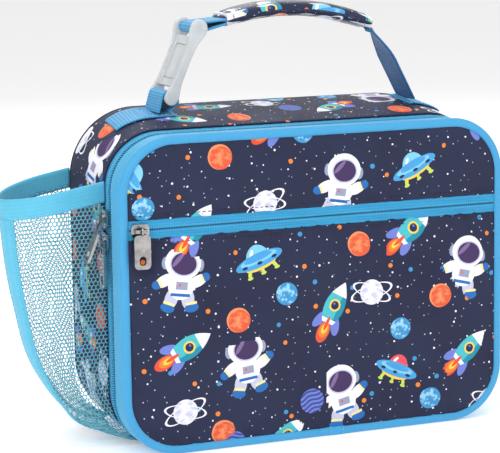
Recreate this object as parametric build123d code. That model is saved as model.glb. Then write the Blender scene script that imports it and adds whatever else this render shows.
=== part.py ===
from build123d import *
import math
import os

os.makedirs("parts", exist_ok=True)

# A soft insulated lunch bag.  X runs along its width, +Y points to its back and +Z up.
# The origin is the middle of the flat base, halfway between its front and back faces.

# ---- Driving dimensions, millimetres and degrees ----
BODY_WIDTH = 246.0          # across the sides of the bag at its mouth
BODY_HEIGHT = 188.0         # top of the bag at its mouth
BODY_DEPTH = 104.0          # front print panel to back panel
CORNER_RADIUS = 33.0        # of the mouth and the lid
BACK_RISE = 9.0             # how much higher the bag stands near its back
BACK_SPREAD = 1.0           # how much wider it is there, each side
BACK_CORNER_RADIUS = 42.0
SHOULDER_SETBACK = 16.0     # from the back face to where the back edge starts to round
EDGE_SETBACK = 6.0          # from the back face to the middle of that rounding
EDGE_INSET = 2.5            # how far the outline has come in there
BACK_INSET = 9.0            # and at the back face

FABRIC = 0.9
LINER = 0.4
WALL_FOAM = 5.0
LID_FOAM = 4.1
RIM_FOAM = 4.0
BINDING = 0.5
SEAM_FOLD = 0.8
CLEARANCE = 0.3

PIPING_DIAMETER = 5.8
PIPING_CORD_DIAMETER = 4.0
PIPING_SETBACK = 1.5        # piping centre line inside the mouth outline

MAIN_ZIP_SETBACK = 23.0     # from the front print panel back to the main zip
ZIP_TAPE = 0.6
ZIP_GAP = 1.6               # between the two coils, where the slider posts run
COIL_WIDTH = 1.7
COIL_HEIGHT = 1.3
TAPE_SHOW = 7.4             # tape between the zip and the bag's printed side
TAPE_SEAM = 2.0             # tape under the fabric it is sewn to
LID_TAPE_SHOW = 4.6
LID_TAPE_SEAM = 2.4
RUNNING_ROOM = 4.5          # bare tape each side of the zip, for the sliders
ZIP_END_HEIGHT = 10.0       # where the main zip stops above the ground

POCKET_ZIP_HEIGHT = 135.5
POCKET_BAND = 11.4          # visible blue band of the front pocket's zip
POCKET_ZIP_SEAM = 2.5
POCKET_DEPTH = 1.8          # room inside the flat front pocket, tapes included
POCKET_TAPE = 0.5
POCKET_COIL_HEIGHT = 1.2

SLIDER_LENGTH = 11.0
SLIDER_WIDTH = 7.6
SLIDER_PLATE = 1.4
SLIDER_BACK_PLATE = 0.9
SLIDER_POST = 0.9
FLANGE = 1.0
ARCH_LENGTH = 7.0
ARCH_HEIGHT = 3.4
ARCH_BAR = 1.0
ARCH_WIDTH = 2.0
UPPER_SLIDER_HEIGHT = 139.9
LOWER_SLIDER_HEIGHT = 126.2
UPPER_PULL_LEAN = 22.0      # the upper pull lies over the lower slider
PULL_LENGTH = 27.5
PULL_WIDTH = 8.0
PULL_THICKNESS = 1.6
PULL_BAR = 1.4
PULL_EYE_LENGTH = 6.4
PULL_EYE_WIDTH = 2.8
PULL_HOLE_LENGTH = 5.5
PULL_HOLE_WIDTH = 4.2
POCKET_SLIDER_X = -112.5
POCKET_PULL_LENGTH = 22.0
POCKET_PULL_WIDTH = 10.0
LINK_RADIUS = 1.95          # the pocket pull's ring, to the middle of its wire
LINK_WIRE = 1.4

POCKET_REACH = 57.0         # how far the mesh pocket stands out from the bag's side
POCKET_FRONT_Y = -21.5
POCKET_BACK_Y = 48.0
POCKET_TUCK = 0.25          # how far its back comes forward as it is drawn in below
POCKET_SEAM_Y = -5.0        # the outer seam between the two mesh panels
MESH = 1.0
RIM_HEIGHT = 161.0          # at the bag's side
RIM_DROP = 9.0              # lower by this at the outer seam
RIM_BAND = 12.5
RIM_WALL = 0.8              # binding each side of the mesh
SEAM_BAND = 8.0
POCKET_SECTIONS = (         # height, share of the reach, how far it is drawn in to the bag
    (2.0, 0.13, 22.0),
    (9.0, 0.29, 10.4),
    (25.0, 0.44, 1.0),
    (44.0, 0.65, 0.0),
    (90.0, 0.88, 0.0),
    (150.0, 1.0, 0.0),
    (166.0, 1.02, 0.0),
)

WEBBING_WIDTH = 25.0
WEBBING = 1.4
HANDLE_Y = 12.0
HINGE_HEIGHT = 200.0        # the line about which the handle tilts
HANDLE_WAIST_ANGLE = 80.0   # slope of the webbing's waist above the line, from upright
FOOT_WAIST_ANGLE = 62.0     # and below it
GRIP_WIDTH = 27.0
GRIP_THICKNESS = 9.0
GRIP_LEFT = (-35.5, 250.5)
GRIP_MIDDLE = (14.0, 256.0)
GRIP_RIGHT = (61.0, 245.5)
STRAP_TURN = (64.5, 244.6)
STRAP_KNEE = (74.5, 227.5)
STRAP_FOOT = (90.5, 197.0)
STRAP_BENDS = (2.0, 30.0)
ANCHOR_OUTER_X = 106.0
LEFT_ANCHOR_END = 68.0
RIGHT_ANCHOR_END = 86.0
LOOP_LEFT = (-80.5, 196.6)
LOOP_PEAK = (-76.0, 212.8)
LOOP_RIGHT = (-66.8, 203.3)
LOOP_UNDER = (-73.5, 196.8)
LOOP_BENDS = (3.6, 2.6)
CLIP_FOOT = (-73.0, 205.5)  # lower crossbar
CLIP_HEAD = (-54.6, 246.6)  # upper crossbar
CLIP_WIDTH = 31.0
CLIP_PLATE = 4.4
CLIP_EAR = 2.6
CLIP_EAR_RADIUS = 4.4
CHEEK_PROUD = 0.8           # of the plate, each side
CLIP_HEAD_RADIUS = 5.4
CROSSBAR_RADIUS = 1.8
CLIP_LOWER_SLOT = 4.8       # room for webbing beside the lower crossbar
CLIP_UPPER_SLOT = 4.4
GATE_LENGTH = 22.0
GATE_WIDTH = 15.0
GATE_SLOT = 0.5

# ---- Places that follow from them ----
FRONT = -BODY_DEPTH / 2
BACK = BODY_DEPTH / 2
HALF = BODY_WIDTH / 2
STRAIGHT = HALF - CORNER_RADIUS
PIPING_RADIUS = PIPING_DIAMETER / 2
PIPING_Y = FRONT + 1.0
ZIP_Y = FRONT + MAIN_ZIP_SETBACK
PANEL_FRONT = FRONT - 0.8
PANEL_BACK = FRONT
LINING_FRONT = PANEL_BACK + POCKET_DEPTH
LINING_BACK = LINING_FRONT + LINER
BOARD_BACK = LINING_BACK + LID_FOAM
LID_COIL_BACK = ZIP_Y - ZIP_GAP / 2
LID_COIL_FRONT = LID_COIL_BACK - COIL_WIDTH
BODY_COIL_FRONT = ZIP_Y + ZIP_GAP / 2
BODY_COIL_BACK = BODY_COIL_FRONT + COIL_WIDTH
BOXING_BACK = ZIP_Y - LID_TAPE_SHOW
WRAP_FRONT = BODY_COIL_BACK + TAPE_SHOW - COIL_WIDTH
RIM_BACK = ZIP_Y - RUNNING_ROOM - 1.0
MOUTH = ZIP_Y + RUNNING_ROOM + 0.5
SHOULDER_Y = BACK - SHOULDER_SETBACK
BACK_SEAM_Y = BACK - 8.0
LID_BOTTOM_GAP = STRAIGHT + CLEARANCE
BASE_FRONT = PIPING_Y + 2.6
BASE_FOAM_FRONT = BOARD_BACK + LINER + 0.8
BASE_FOAM_HALF = STRAIGHT - 2.0


def stations(inset):
    """Outline of the bag at each depth: y, half width, base height, top height, corner radius."""
    return (
        (FRONT + 21.0, HALF - inset, inset, BODY_HEIGHT - inset, CORNER_RADIUS - inset),
        (
            SHOULDER_Y,
            HALF + BACK_SPREAD - inset,
            inset,
            BODY_HEIGHT + BACK_RISE - inset,
            BACK_CORNER_RADIUS - inset,
        ),
        (
            BACK - EDGE_SETBACK - 0.6 * inset,
            HALF + BACK_SPREAD - EDGE_INSET - inset,
            EDGE_INSET + inset,
            BODY_HEIGHT + BACK_RISE - EDGE_INSET - inset,
            BACK_CORNER_RADIUS - EDGE_INSET - inset,
        ),
        (
            BACK - inset,
            HALF + BACK_SPREAD - BACK_INSET - 0.9 * inset,
            BACK_INSET + 0.9 * inset,
            BODY_HEIGHT + BACK_RISE - BACK_INSET - 0.9 * inset,
            BACK_CORNER_RADIUS - BACK_INSET - 0.9 * inset,
        ),
    )


def outline_at(y, inset):
    """The bag's outline at one depth, between its stations."""
    line = stations(inset)
    if y <= line[0][0]:
        return line[0][1:]
    for near, far in zip(line, line[1:]):
        if y <= far[0] + 1e-6:
            share = (y - near[0]) / (far[0] - near[0])
            return tuple(a + share * (b - a) for a, b in zip(near[1:], far[1:]))
    return line[-1][1:]


def face_at(y, half, base, top, radius):
    """An upright rounded rectangle across the bag, facing its front."""
    plane = Plane(origin=(0, y, (base + top) / 2), x_dir=(1, 0, 0), z_dir=(0, -1, 0))
    return plane * RectangleRounded(2 * half, top - base, radius)


def bag_solid(inset, y_start, y_end):
    """The bag's outer form, drawn in by an inset, between two depths."""
    line = stations(inset)
    stops = [y_start]
    stops += [s[0] for s in line if y_start + 1e-6 < s[0] < y_end - 1e-6]
    stops.append(y_end)
    faces = [face_at(y, *outline_at(y, inset)) for y in stops]
    return loft(faces, ruled=True)


def bag_layer(outer, inner, y_start, y_end):
    """One layer of the bag's wall, open at both ends."""
    return bag_solid(outer, y_start, y_end) - bag_solid(inner, y_start, y_end)


def block(x0, x1, y0, y1, z0, z1):
    """A box between two corners."""
    return Pos((x0 + x1) / 2, (y0 + y1) / 2, (z0 + z1) / 2) * Box(x1 - x0, y1 - y0, z1 - z0)


def slab(half, base, top, radius, y0, y1):
    """A rounded plate across the bag, from one depth to another."""
    return extrude(face_at(y1, half, base, top, radius), amount=y1 - y0)


def base_strip(half, height):
    """The space along the straight run of the base, for cutting."""
    return block(-half, half, FRONT - 20, BACK + 20, -5, height)


def save(solid, name):
    """Write one node."""
    export_step(solid, f"parts/{name}.step")


# ---- Piping round the lid ----
PIPING_HALF = HALF - PIPING_SETBACK
PIPING_BASE = PIPING_RADIUS
PIPING_TOP = BODY_HEIGHT - PIPING_SETBACK
PIPING_CORNER = CORNER_RADIUS - PIPING_SETBACK


def piping_tube(diameter):
    """A round cord along the lid's edge."""
    line = face_at(PIPING_Y, PIPING_HALF, PIPING_BASE, PIPING_TOP, PIPING_CORNER).face().outer_wire()
    start = line @ 0
    section = Plane(origin=start, z_dir=line % 0) * Circle(diameter / 2)
    return sweep(section, path=line)


piping_outer = piping_tube(PIPING_DIAMETER)
piping_cord = piping_tube(PIPING_CORD_DIAMETER)
save(piping_outer - piping_cord, "piping_cover")
save(piping_cord, "piping_cord")

# ---- Lid face: two printed panels, the pocket zip between them, lining, foam ----
WINDOW_HALF = PIPING_HALF - PIPING_RADIUS + 0.6
WINDOW_BASE = PIPING_BASE + PIPING_RADIUS - 0.6
WINDOW_TOP = PIPING_TOP - PIPING_RADIUS + 0.6
WINDOW_CORNER = PIPING_CORNER - PIPING_RADIUS + 0.6


def window(y0, y1):
    """A sheet that fills the piping's window and meets the piping."""
    return slab(WINDOW_HALF, WINDOW_BASE, WINDOW_TOP, WINDOW_CORNER, y0, y1) - piping_outer


BAND_LOW = POCKET_ZIP_HEIGHT - POCKET_BAND / 2
BAND_HIGH = POCKET_ZIP_HEIGHT + POCKET_BAND / 2
panel_sheet = window(PANEL_FRONT, PANEL_BACK)
save(panel_sheet & block(-HALF, HALF, FRONT - 9, 0, BAND_HIGH, BODY_HEIGHT), "lid_upper_panel")
save(panel_sheet & block(-HALF, HALF, FRONT - 9, 0, 0, BAND_LOW), "front_pocket_panel")
save(window(LINING_FRONT, LINING_BACK), "pocket_lining")

tape_sheet = window(PANEL_BACK, PANEL_BACK + POCKET_TAPE)
POCKET_COIL_LOW = POCKET_ZIP_HEIGHT - ZIP_GAP / 2 - COIL_WIDTH
POCKET_COIL_HIGH = POCKET_ZIP_HEIGHT + ZIP_GAP / 2 + COIL_WIDTH
TAPE_EDGE = ZIP_GAP / 2
TAPE_TOP = BAND_HIGH + POCKET_ZIP_SEAM
save(
    tape_sheet & block(-HALF, HALF, FRONT - 9, 0, POCKET_ZIP_HEIGHT + TAPE_EDGE, TAPE_TOP),
    "pocket_zip_tape_upper",
)
save(
    tape_sheet & block(-HALF, HALF, FRONT - 9, 0, BAND_LOW - POCKET_ZIP_SEAM, POCKET_ZIP_HEIGHT - TAPE_EDGE),
    "pocket_zip_tape_lower",
)
coil_sheet = window(PANEL_BACK - POCKET_COIL_HEIGHT, PANEL_BACK)
save(
    coil_sheet & block(-HALF, HALF, FRONT - 9, 0, POCKET_ZIP_HEIGHT + ZIP_GAP / 2, POCKET_COIL_HIGH),
    "pocket_zip_coil_upper",
)
save(
    coil_sheet & block(-HALF, HALF, FRONT - 9, 0, POCKET_COIL_LOW, POCKET_ZIP_HEIGHT - ZIP_GAP / 2),
    "pocket_zip_coil_lower",
)

BOARD_HALF = WINDOW_HALF - 0.8
BOARD_BASE = WINDOW_BASE + 0.8
BOARD_TOP = WINDOW_TOP - 0.8
BOARD_CORNER = WINDOW_CORNER - 0.8
save(slab(BOARD_HALF, BOARD_BASE, BOARD_TOP, BOARD_CORNER, LINING_BACK, BOARD_BACK), "lid_foam")

# ---- Lid sides: boxing fabric, rim foam, liner tray, binding, half of the main zip ----
lid_base_cut = base_strip(LID_BOTTOM_GAP, CORNER_RADIUS / 2)
RIM_INNER = FABRIC + RIM_FOAM
LID_LINER_INNER = RIM_INNER + LINER
lid_boxing = bag_layer(0, FABRIC, PIPING_Y, BOXING_BACK) - piping_outer - lid_base_cut
save(lid_boxing, "lid_boxing")

zip_end_cut = block(-HALF - 9, HALF + 9, FRONT - 20, BACK, -9, ZIP_END_HEIGHT)
lid_tape = bag_layer(FABRIC, FABRIC + ZIP_TAPE, BOXING_BACK - LID_TAPE_SEAM, LID_COIL_BACK)
save(lid_tape - lid_base_cut, "lid_zip_tape")
save(bag_layer(-COIL_HEIGHT, FABRIC, LID_COIL_FRONT, LID_COIL_BACK) - zip_end_cut, "lid_zip_coil")

lid_tape_rebate = bag_layer(FABRIC, FABRIC + ZIP_TAPE, BOXING_BACK - LID_TAPE_SEAM, RIM_BACK)
rim_foam = bag_layer(FABRIC, RIM_INNER, BOARD_BACK, RIM_BACK) - lid_tape_rebate
save(rim_foam - lid_base_cut, "lid_rim_foam")
rim_liner = bag_layer(RIM_INNER, LID_LINER_INNER, BOARD_BACK + LINER, RIM_BACK) - lid_base_cut
tray_half = HALF - RIM_INNER
tray_top = BODY_HEIGHT - RIM_INNER
tray_corner = CORNER_RADIUS - RIM_INNER
tray_floor = slab(tray_half, BOARD_BASE, tray_top, tray_corner, BOARD_BACK, BOARD_BACK + LINER)
save(tray_floor + rim_liner, "lid_liner")
rim_edge = bag_layer(FABRIC + ZIP_TAPE, LID_LINER_INNER, RIM_BACK, RIM_BACK + SEAM_FOLD)
rim_lip = bag_layer(LID_LINER_INNER, LID_LINER_INNER + BINDING, RIM_BACK - 5, RIM_BACK + SEAM_FOLD)
save((rim_edge + rim_lip) - lid_base_cut, "lid_binding")

# ---- Body: printed wrap, back panel, base panel, foam walls, liner, mouth binding ----
base_cut = base_strip(STRAIGHT, 5)
LINER_OUTER = FABRIC + WALL_FOAM
LINER_INNER = LINER_OUTER + LINER
skin = bag_layer(0, FABRIC, WRAP_FRONT, BACK_SEAM_Y)
save(skin - base_cut, "side_wrap")
save(bag_solid(0, BACK_SEAM_Y, BACK) - bag_solid(FABRIC, BACK_SEAM_Y, BACK - FABRIC), "back_panel")
base_front = block(-STRAIGHT, STRAIGHT, BASE_FRONT, WRAP_FRONT, 0, FABRIC)
save((bag_layer(0, FABRIC, WRAP_FRONT, BACK_SEAM_Y) & base_cut) + base_front, "base_panel")

zip_end_zone = block(-HALF - 9, HALF + 9, FRONT - 20, BACK, -9, ZIP_END_HEIGHT) - base_cut
zip_ends = bag_layer(0, FABRIC, BODY_COIL_BACK, WRAP_FRONT) & zip_end_zone
save(zip_ends, "zip_end_tabs")

body_tape = bag_layer(FABRIC, FABRIC + ZIP_TAPE, BODY_COIL_FRONT, WRAP_FRONT + TAPE_SEAM)
save(body_tape - base_strip(STRAIGHT, CORNER_RADIUS / 2), "body_zip_tape")
body_coil = bag_layer(-COIL_HEIGHT, FABRIC, BODY_COIL_FRONT, BODY_COIL_BACK)
save(body_coil - zip_end_cut, "body_zip_coil")

foam_wall = bag_layer(FABRIC, LINER_OUTER, MOUTH, BACK_SEAM_Y)
foam_wall -= body_tape
middle = BODY_HEIGHT / 2
save(foam_wall & block(-STRAIGHT, STRAIGHT, FRONT, BACK, middle, 2 * BODY_HEIGHT), "foam_top")
save(foam_wall & block(-2 * HALF, -STRAIGHT, FRONT, BACK, -9, 2 * BODY_HEIGHT), "foam_left")
save(foam_wall & block(STRAIGHT, 2 * HALF, FRONT, BACK, -9, 2 * BODY_HEIGHT), "foam_right")
foam_base = foam_wall & block(-STRAIGHT, STRAIGHT, FRONT, BACK, -9, middle)
foam_apron = block(-BASE_FOAM_HALF, BASE_FOAM_HALF, BASE_FOAM_FRONT, MOUTH, FABRIC, LINER_OUTER)
save(foam_base + foam_apron, "foam_base")
foam_back = bag_solid(FABRIC, BACK_SEAM_Y, BACK - FABRIC)
foam_back -= bag_solid(LINER_OUTER, BACK_SEAM_Y, BACK - LINER_OUTER)
save(foam_back, "foam_back")

tub = bag_solid(LINER_OUTER, MOUTH, BACK - LINER_OUTER) - bag_solid(LINER_INNER, MOUTH, BACK - LINER_INNER)
apron_liner = block(-BASE_FOAM_HALF, BASE_FOAM_HALF, BASE_FOAM_FRONT, MOUTH, LINER_OUTER, LINER_INNER)
save(tub + apron_liner, "body_liner")
mouth_edge = bag_layer(FABRIC + ZIP_TAPE, LINER_INNER, MOUTH - SEAM_FOLD, MOUTH)
mouth_lip = bag_layer(LINER_INNER, LINER_INNER + BINDING, MOUTH - SEAM_FOLD, MOUTH + 10)
save((mouth_edge + mouth_lip) - base_strip(STRAIGHT, CORNER_RADIUS / 2), "mouth_binding")


# ---- Zip sliders and pulls ----
def slider_body(coil_height, tape, stack, flanges):
    """A slider travelling along Z whose outside faces -X; x = 0 is the tape's outer face."""
    under = -(coil_height + CLEARANCE)
    outer = under - SLIDER_PLATE
    width = SLIDER_WIDTH / 2
    length = SLIDER_LENGTH / 2
    plate = block(outer, under, -width, width, -length, length)
    plate = fillet(plate.edges().filter_by(Axis.X), 2.4)
    inside = tape + stack
    back_plate = block(inside, inside + SLIDER_BACK_PLATE, -width, width, -length, length)
    back_plate = fillet(back_plate.edges().filter_by(Axis.X), 2.4)
    post = block(under, inside, -SLIDER_POST / 2, SLIDER_POST / 2, length - 4.5, length - 1.0)
    body = plate + back_plate + post
    for side in flanges:
        y0, y1 = sorted((side * width, side * (width - FLANGE)))
        body += block(under, -CLEARANCE, y0, y1, -length + 2.4, length - 2.4)
    arch_side = ARCH_WIDTH / 2
    arch_end = ARCH_LENGTH / 2
    arch = block(outer - ARCH_HEIGHT, outer, -arch_side, arch_side, -arch_end, arch_end)
    arch = fillet(arch.edges().filter_by(Axis.Y).sort_by(Axis.X)[:2], 1.6)
    hole_half = arch_end - ARCH_BAR
    arch -= block(outer - ARCH_HEIGHT + ARCH_BAR, outer, -ARCH_WIDTH, ARCH_WIDTH, -hole_half, hole_half)
    return body + arch, outer - (ARCH_HEIGHT - ARCH_BAR) / 2


def tab_outline(width, top, length):
    """Face of a pull's tab in the YZ plane, hanging from z = -top to z = -length."""
    tab = Pos(0, -(top + length) / 2) * RectangleRounded(width, length - top, 2.6)
    hole = Pos(0, -(length - PULL_HOLE_LENGTH / 2 - 2.2)) * SlotOverall(
        PULL_HOLE_LENGTH, PULL_HOLE_WIDTH, rotation=90
    )
    return tab - hole


def pull_body():
    """A pull hanging from its crossbar, which lies along Y at the origin."""
    flat = Plane.YZ * tab_outline(PULL_WIDTH, PULL_EYE_LENGTH, PULL_LENGTH)
    body = extrude(flat, amount=PULL_THICKNESS / 2, both=True)
    arm = (PULL_WIDTH - 2.4 - PULL_EYE_WIDTH) / 2
    for side in (-1, 1):
        y0, y1 = sorted((side * PULL_EYE_WIDTH / 2, side * (PULL_EYE_WIDTH / 2 + arm)))
        body += block(-PULL_BAR / 2, PULL_BAR / 2, y0, y1, -PULL_EYE_LENGTH - 1, PULL_BAR / 2)
    bar = Rot(90, 0, 0) * Cylinder(PULL_BAR / 2, PULL_EYE_WIDTH + 1)
    return body + bar


def pocket_pull_body():
    """A pull with a ring round the slider's arch, which lies along X at the origin."""
    link = Rot(0, 90, 0) * Torus(LINK_RADIUS, LINK_WIRE / 2)
    flat = Plane(origin=(0, 0, 0), x_dir=(1, 0, 0), z_dir=(0, -1, 0)) * tab_outline(
        POCKET_PULL_WIDTH, LINK_RADIUS, POCKET_PULL_LENGTH
    )
    return link + extrude(flat, amount=PULL_THICKNESS / 2, both=True)


slider, arch_x = slider_body(COIL_HEIGHT + FABRIC, ZIP_TAPE, CLEARANCE, (1,))
side_x = -HALF + FABRIC
for name, height, lean in (
    ("upper", UPPER_SLIDER_HEIGHT, UPPER_PULL_LEAN),
    ("lower", LOWER_SLIDER_HEIGHT, 0.0),
):
    save(Pos(side_x, ZIP_Y, height) * slider, f"main_slider_{name}")
    pull = Pos(side_x + arch_x, ZIP_Y, height) * Rot(0, lean, 0) * pull_body()
    save(pull, f"main_pull_{name}")

pocket_slider, pocket_arch = slider_body(POCKET_COIL_HEIGHT, POCKET_TAPE, CLEARANCE, (-1, 1))
turn = Plane(origin=(POCKET_SLIDER_X, PANEL_BACK, POCKET_ZIP_HEIGHT), x_dir=(0, 1, 0), z_dir=(1, 0, 0))
save(turn.location * pocket_slider, "pocket_slider")
arch_centre_y = PANEL_BACK + pocket_arch - (ARCH_HEIGHT - ARCH_BAR) / 2 - ARCH_BAR / 2
save(Pos(POCKET_SLIDER_X, arch_centre_y, POCKET_ZIP_HEIGHT) * pocket_pull_body(), "pocket_pull")

# ---- Mesh bottle pocket ----
RIM_SHAPE = (               # share of the reach and y of the pocket seen from above
    (0.0, POCKET_FRONT_Y),
    (0.26, POCKET_FRONT_Y - 1.0),
    (0.56, POCKET_FRONT_Y - 2.0),
    (0.82, POCKET_FRONT_Y + 3.5),
    (1.0, POCKET_SEAM_Y),
    (0.97, POCKET_SEAM_Y + 17.0),
    (0.74, POCKET_BACK_Y - 16.0),
    (0.39, POCKET_BACK_Y - 4.0),
    (0.0, POCKET_BACK_Y),
)


CLOSING = 12.0              # the section runs this far into the bag, and is then cut off


def pocket_section(height, share, draw, inset):
    """The pocket seen from above at one height, drawn in all round by an inset."""
    root = -HALF + draw
    line = []
    for s, y in RIM_SHAPE:
        behind = max(0.0, (y - POCKET_SEAM_Y) / (POCKET_BACK_Y - POCKET_SEAM_Y))
        line.append(Vector(root - share * POCKET_REACH * s, y - POCKET_TUCK * draw * behind))
    moved = []
    for i, point in enumerate(line):
        before = line[max(i - 1, 0)]
        after = line[min(i + 1, len(line) - 1)]
        along = (after - before).normalized()
        moved.append(point + Vector(-along.Y, along.X) * -inset)
    closing = [Vector(root + CLOSING, moved[-1].Y), Vector(root + CLOSING, moved[0].Y)]
    corners = [(p.X, p.Y) for p in moved + closing]
    return Plane.XY.offset(height) * make_face(Polyline(corners, close=True))


def pocket_solid(inset):
    """The whole pocket as one form, drawn in by an inset."""
    faces = []
    for i, (height, share, draw) in enumerate(POCKET_SECTIONS):
        raised = height + inset if i == 0 else height
        faces.append(pocket_section(raised, share, draw, inset))
    return loft(faces, ruled=True)


bag_form = bag_solid(0, ZIP_Y, BACK)
rim_normal = (-RIM_DROP, 0, POCKET_REACH)
rim_top = Plane(origin=(-HALF, 0, RIM_HEIGHT), z_dir=rim_normal)
rim_bottom = Plane(origin=(-HALF, 0, RIM_HEIGHT - RIM_BAND), z_dir=rim_normal)
outer_form = pocket_solid(0)
mesh = outer_form - pocket_solid(MESH) - bag_form
mesh = split(mesh, bisect_by=rim_bottom, keep=Keep.BOTTOM)
seam_plane = Plane(origin=(0, POCKET_SEAM_Y, 0), z_dir=(0, 1, 0))
save(split(mesh, bisect_by=seam_plane, keep=Keep.BOTTOM), "pocket_mesh_front")
save(split(mesh, bisect_by=seam_plane, keep=Keep.TOP), "pocket_mesh_back")
padded_form = pocket_solid(-RIM_WALL)
rim = padded_form - pocket_solid(MESH + RIM_WALL) - bag_form
rim = split(rim, bisect_by=rim_top, keep=Keep.BOTTOM)
save(split(rim, bisect_by=rim_bottom, keep=Keep.TOP), "pocket_rim_binding")
seam_zone = block(
    -HALF - 2 * POCKET_REACH,
    -HALF + 12,
    POCKET_SEAM_Y - SEAM_BAND / 2,
    POCKET_SEAM_Y + SEAM_BAND / 2,
    -5,
    2 * BODY_HEIGHT,
)
seam = (padded_form - outer_form - bag_form) & seam_zone
seam = split(seam, bisect_by=rim_bottom, keep=Keep.BOTTOM)
save(seam & block(-2 * BODY_WIDTH, 0, FRONT, BACK, FABRIC, BODY_HEIGHT), "pocket_seam_binding")


# ---- Handle ----
def strip(points, radii, width=WEBBING_WIDTH, thickness=WEBBING):
    """A band of webbing whose edge follows points in the XZ plane."""
    line = FilletPolyline(*[(x, z) for x, z in points], radius=radii)
    face = Plane(origin=(0, HANDLE_Y, 0), x_dir=(1, 0, 0), z_dir=(0, -1, 0)) * trace(line, thickness)
    return extrude(face, amount=width / 2, both=True)


def wedge(angle, upward):
    """Space above or below the tilting line, within an angle of upright, along the whole bag."""
    reach = 80.0
    high = reach if upward else -reach
    spread = reach * math.tan(math.radians(angle))
    corners = [
        (HANDLE_Y, HINGE_HEIGHT),
        (HANDLE_Y + spread, HINGE_HEIGHT + high),
        (HANDLE_Y - spread, HINGE_HEIGHT + high),
    ]
    face = Plane.YZ * make_face(Polyline(corners, close=True))
    return extrude(face, amount=BODY_WIDTH, both=True)


above = wedge(HANDLE_WAIST_ANGLE, True)
below = wedge(FOOT_WAIST_ANGLE, False)
anchor_layer = bag_layer(-WEBBING, 0, FRONT + 22, BACK - 5)
anchor_y = (HANDLE_Y - WEBBING_WIDTH / 2, HANDLE_Y + WEBBING_WIDTH / 2)
left_anchor = anchor_layer & block(-ANCHOR_OUTER_X, -LEFT_ANCHOR_END, *anchor_y, middle, 2 * BODY_HEIGHT)
right_anchor = anchor_layer & block(RIGHT_ANCHOR_END, ANCHOR_OUTER_X, *anchor_y, middle, 2 * BODY_HEIGHT)
save(left_anchor, "anchor_left")
save(right_anchor, "anchor_right")
anchor_form = bag_solid(-WEBBING, FRONT + 22, BACK - 5)

CLIP_LENGTH = math.dist(CLIP_FOOT, CLIP_HEAD)
CLIP_LEAN = math.degrees(math.atan2(CLIP_HEAD[0] - CLIP_FOOT[0], CLIP_HEAD[1] - CLIP_FOOT[1]))
clip_place = Pos(CLIP_FOOT[0], HANDLE_Y, CLIP_FOOT[1]) * Rot(0, CLIP_LEAN, 0)

loop = strip((LOOP_LEFT, LOOP_PEAK, LOOP_RIGHT, LOOP_UNDER), LOOP_BENDS)
save((loop & below) - anchor_form, "loop_foot")
save(loop & above, "handle_loop")

right_strap = strip((GRIP_RIGHT, STRAP_TURN, STRAP_KNEE, STRAP_FOOT), STRAP_BENDS)
save((right_strap & below) - anchor_form, "strap_foot")


def grip_band(thickness, width):
    """The grip's curved bar, of a given thickness and width."""
    half = thickness / 2
    top = [(x, z + half) for x, z in (GRIP_LEFT, GRIP_MIDDLE, GRIP_RIGHT)]
    low = [(x, z - half) for x, z in (GRIP_LEFT, GRIP_MIDDLE, GRIP_RIGHT)]
    edge = Curve() + [
        ThreePointArc(top[0], top[1], top[2]),
        Line(top[2], low[2]),
        ThreePointArc(low[2], low[1], low[0]),
        Line(low[0], top[0]),
    ]
    face = Plane(origin=(0, HANDLE_Y, 0), x_dir=(1, 0, 0), z_dir=(0, -1, 0)) * make_face(edge)
    return extrude(face, amount=width / 2, both=True)


grip_outer = grip_band(GRIP_THICKNESS, GRIP_WIDTH)
grip_outer = fillet(grip_outer.edges().filter_by(GeomType.CIRCLE), 3.0)
grip_inner = grip_band(GRIP_THICKNESS - 2 * FABRIC, GRIP_WIDTH - 2 * FABRIC)
grip_inner = fillet(grip_inner.edges().filter_by(GeomType.CIRCLE), 2.2)
grip_core = grip_band(WEBBING, WEBBING_WIDTH)
save((right_strap & above) - grip_outer, "strap_right")
save(grip_outer - grip_inner, "grip_cover")
save(grip_inner - grip_core, "grip_foam")
save(grip_core, "grip_webbing")

# Left webbing: out of the grip, round the clip's upper crossbar and back.
wrap_radius = CROSSBAR_RADIUS + CLEARANCE + WEBBING / 2
head_x, head_z = CLIP_HEAD
run = (GRIP_LEFT[0] - head_x, GRIP_LEFT[1] - head_z)
run_length = math.hypot(*run)
along = (run[0] / run_length, run[1] / run_length)
across = (-along[1], along[0])
near = WEBBING / 2 + CLEARANCE / 2
left_end = GRIP_LEFT[0]
upper_end = (left_end, GRIP_LEFT[1] + near)
lower_end = (left_end, GRIP_LEFT[1] - near)
upper_turn = (head_x + across[0] * wrap_radius, head_z + across[1] * wrap_radius)
lower_turn = (head_x - across[0] * wrap_radius, head_z - across[1] * wrap_radius)
far_turn = (head_x - along[0] * wrap_radius, head_z - along[1] * wrap_radius)
wrap_line = Curve() + [
    Line(upper_end, upper_turn),
    ThreePointArc(upper_turn, far_turn, lower_turn),
    Line(lower_turn, lower_end),
]
wrap_face = Plane(origin=(0, HANDLE_Y, 0), x_dir=(1, 0, 0), z_dir=(0, -1, 0)) * trace(wrap_line, WEBBING)
strap_left = extrude(wrap_face, amount=WEBBING_WIDTH / 2, both=True)
save(strap_left - grip_outer, "strap_left")


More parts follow.
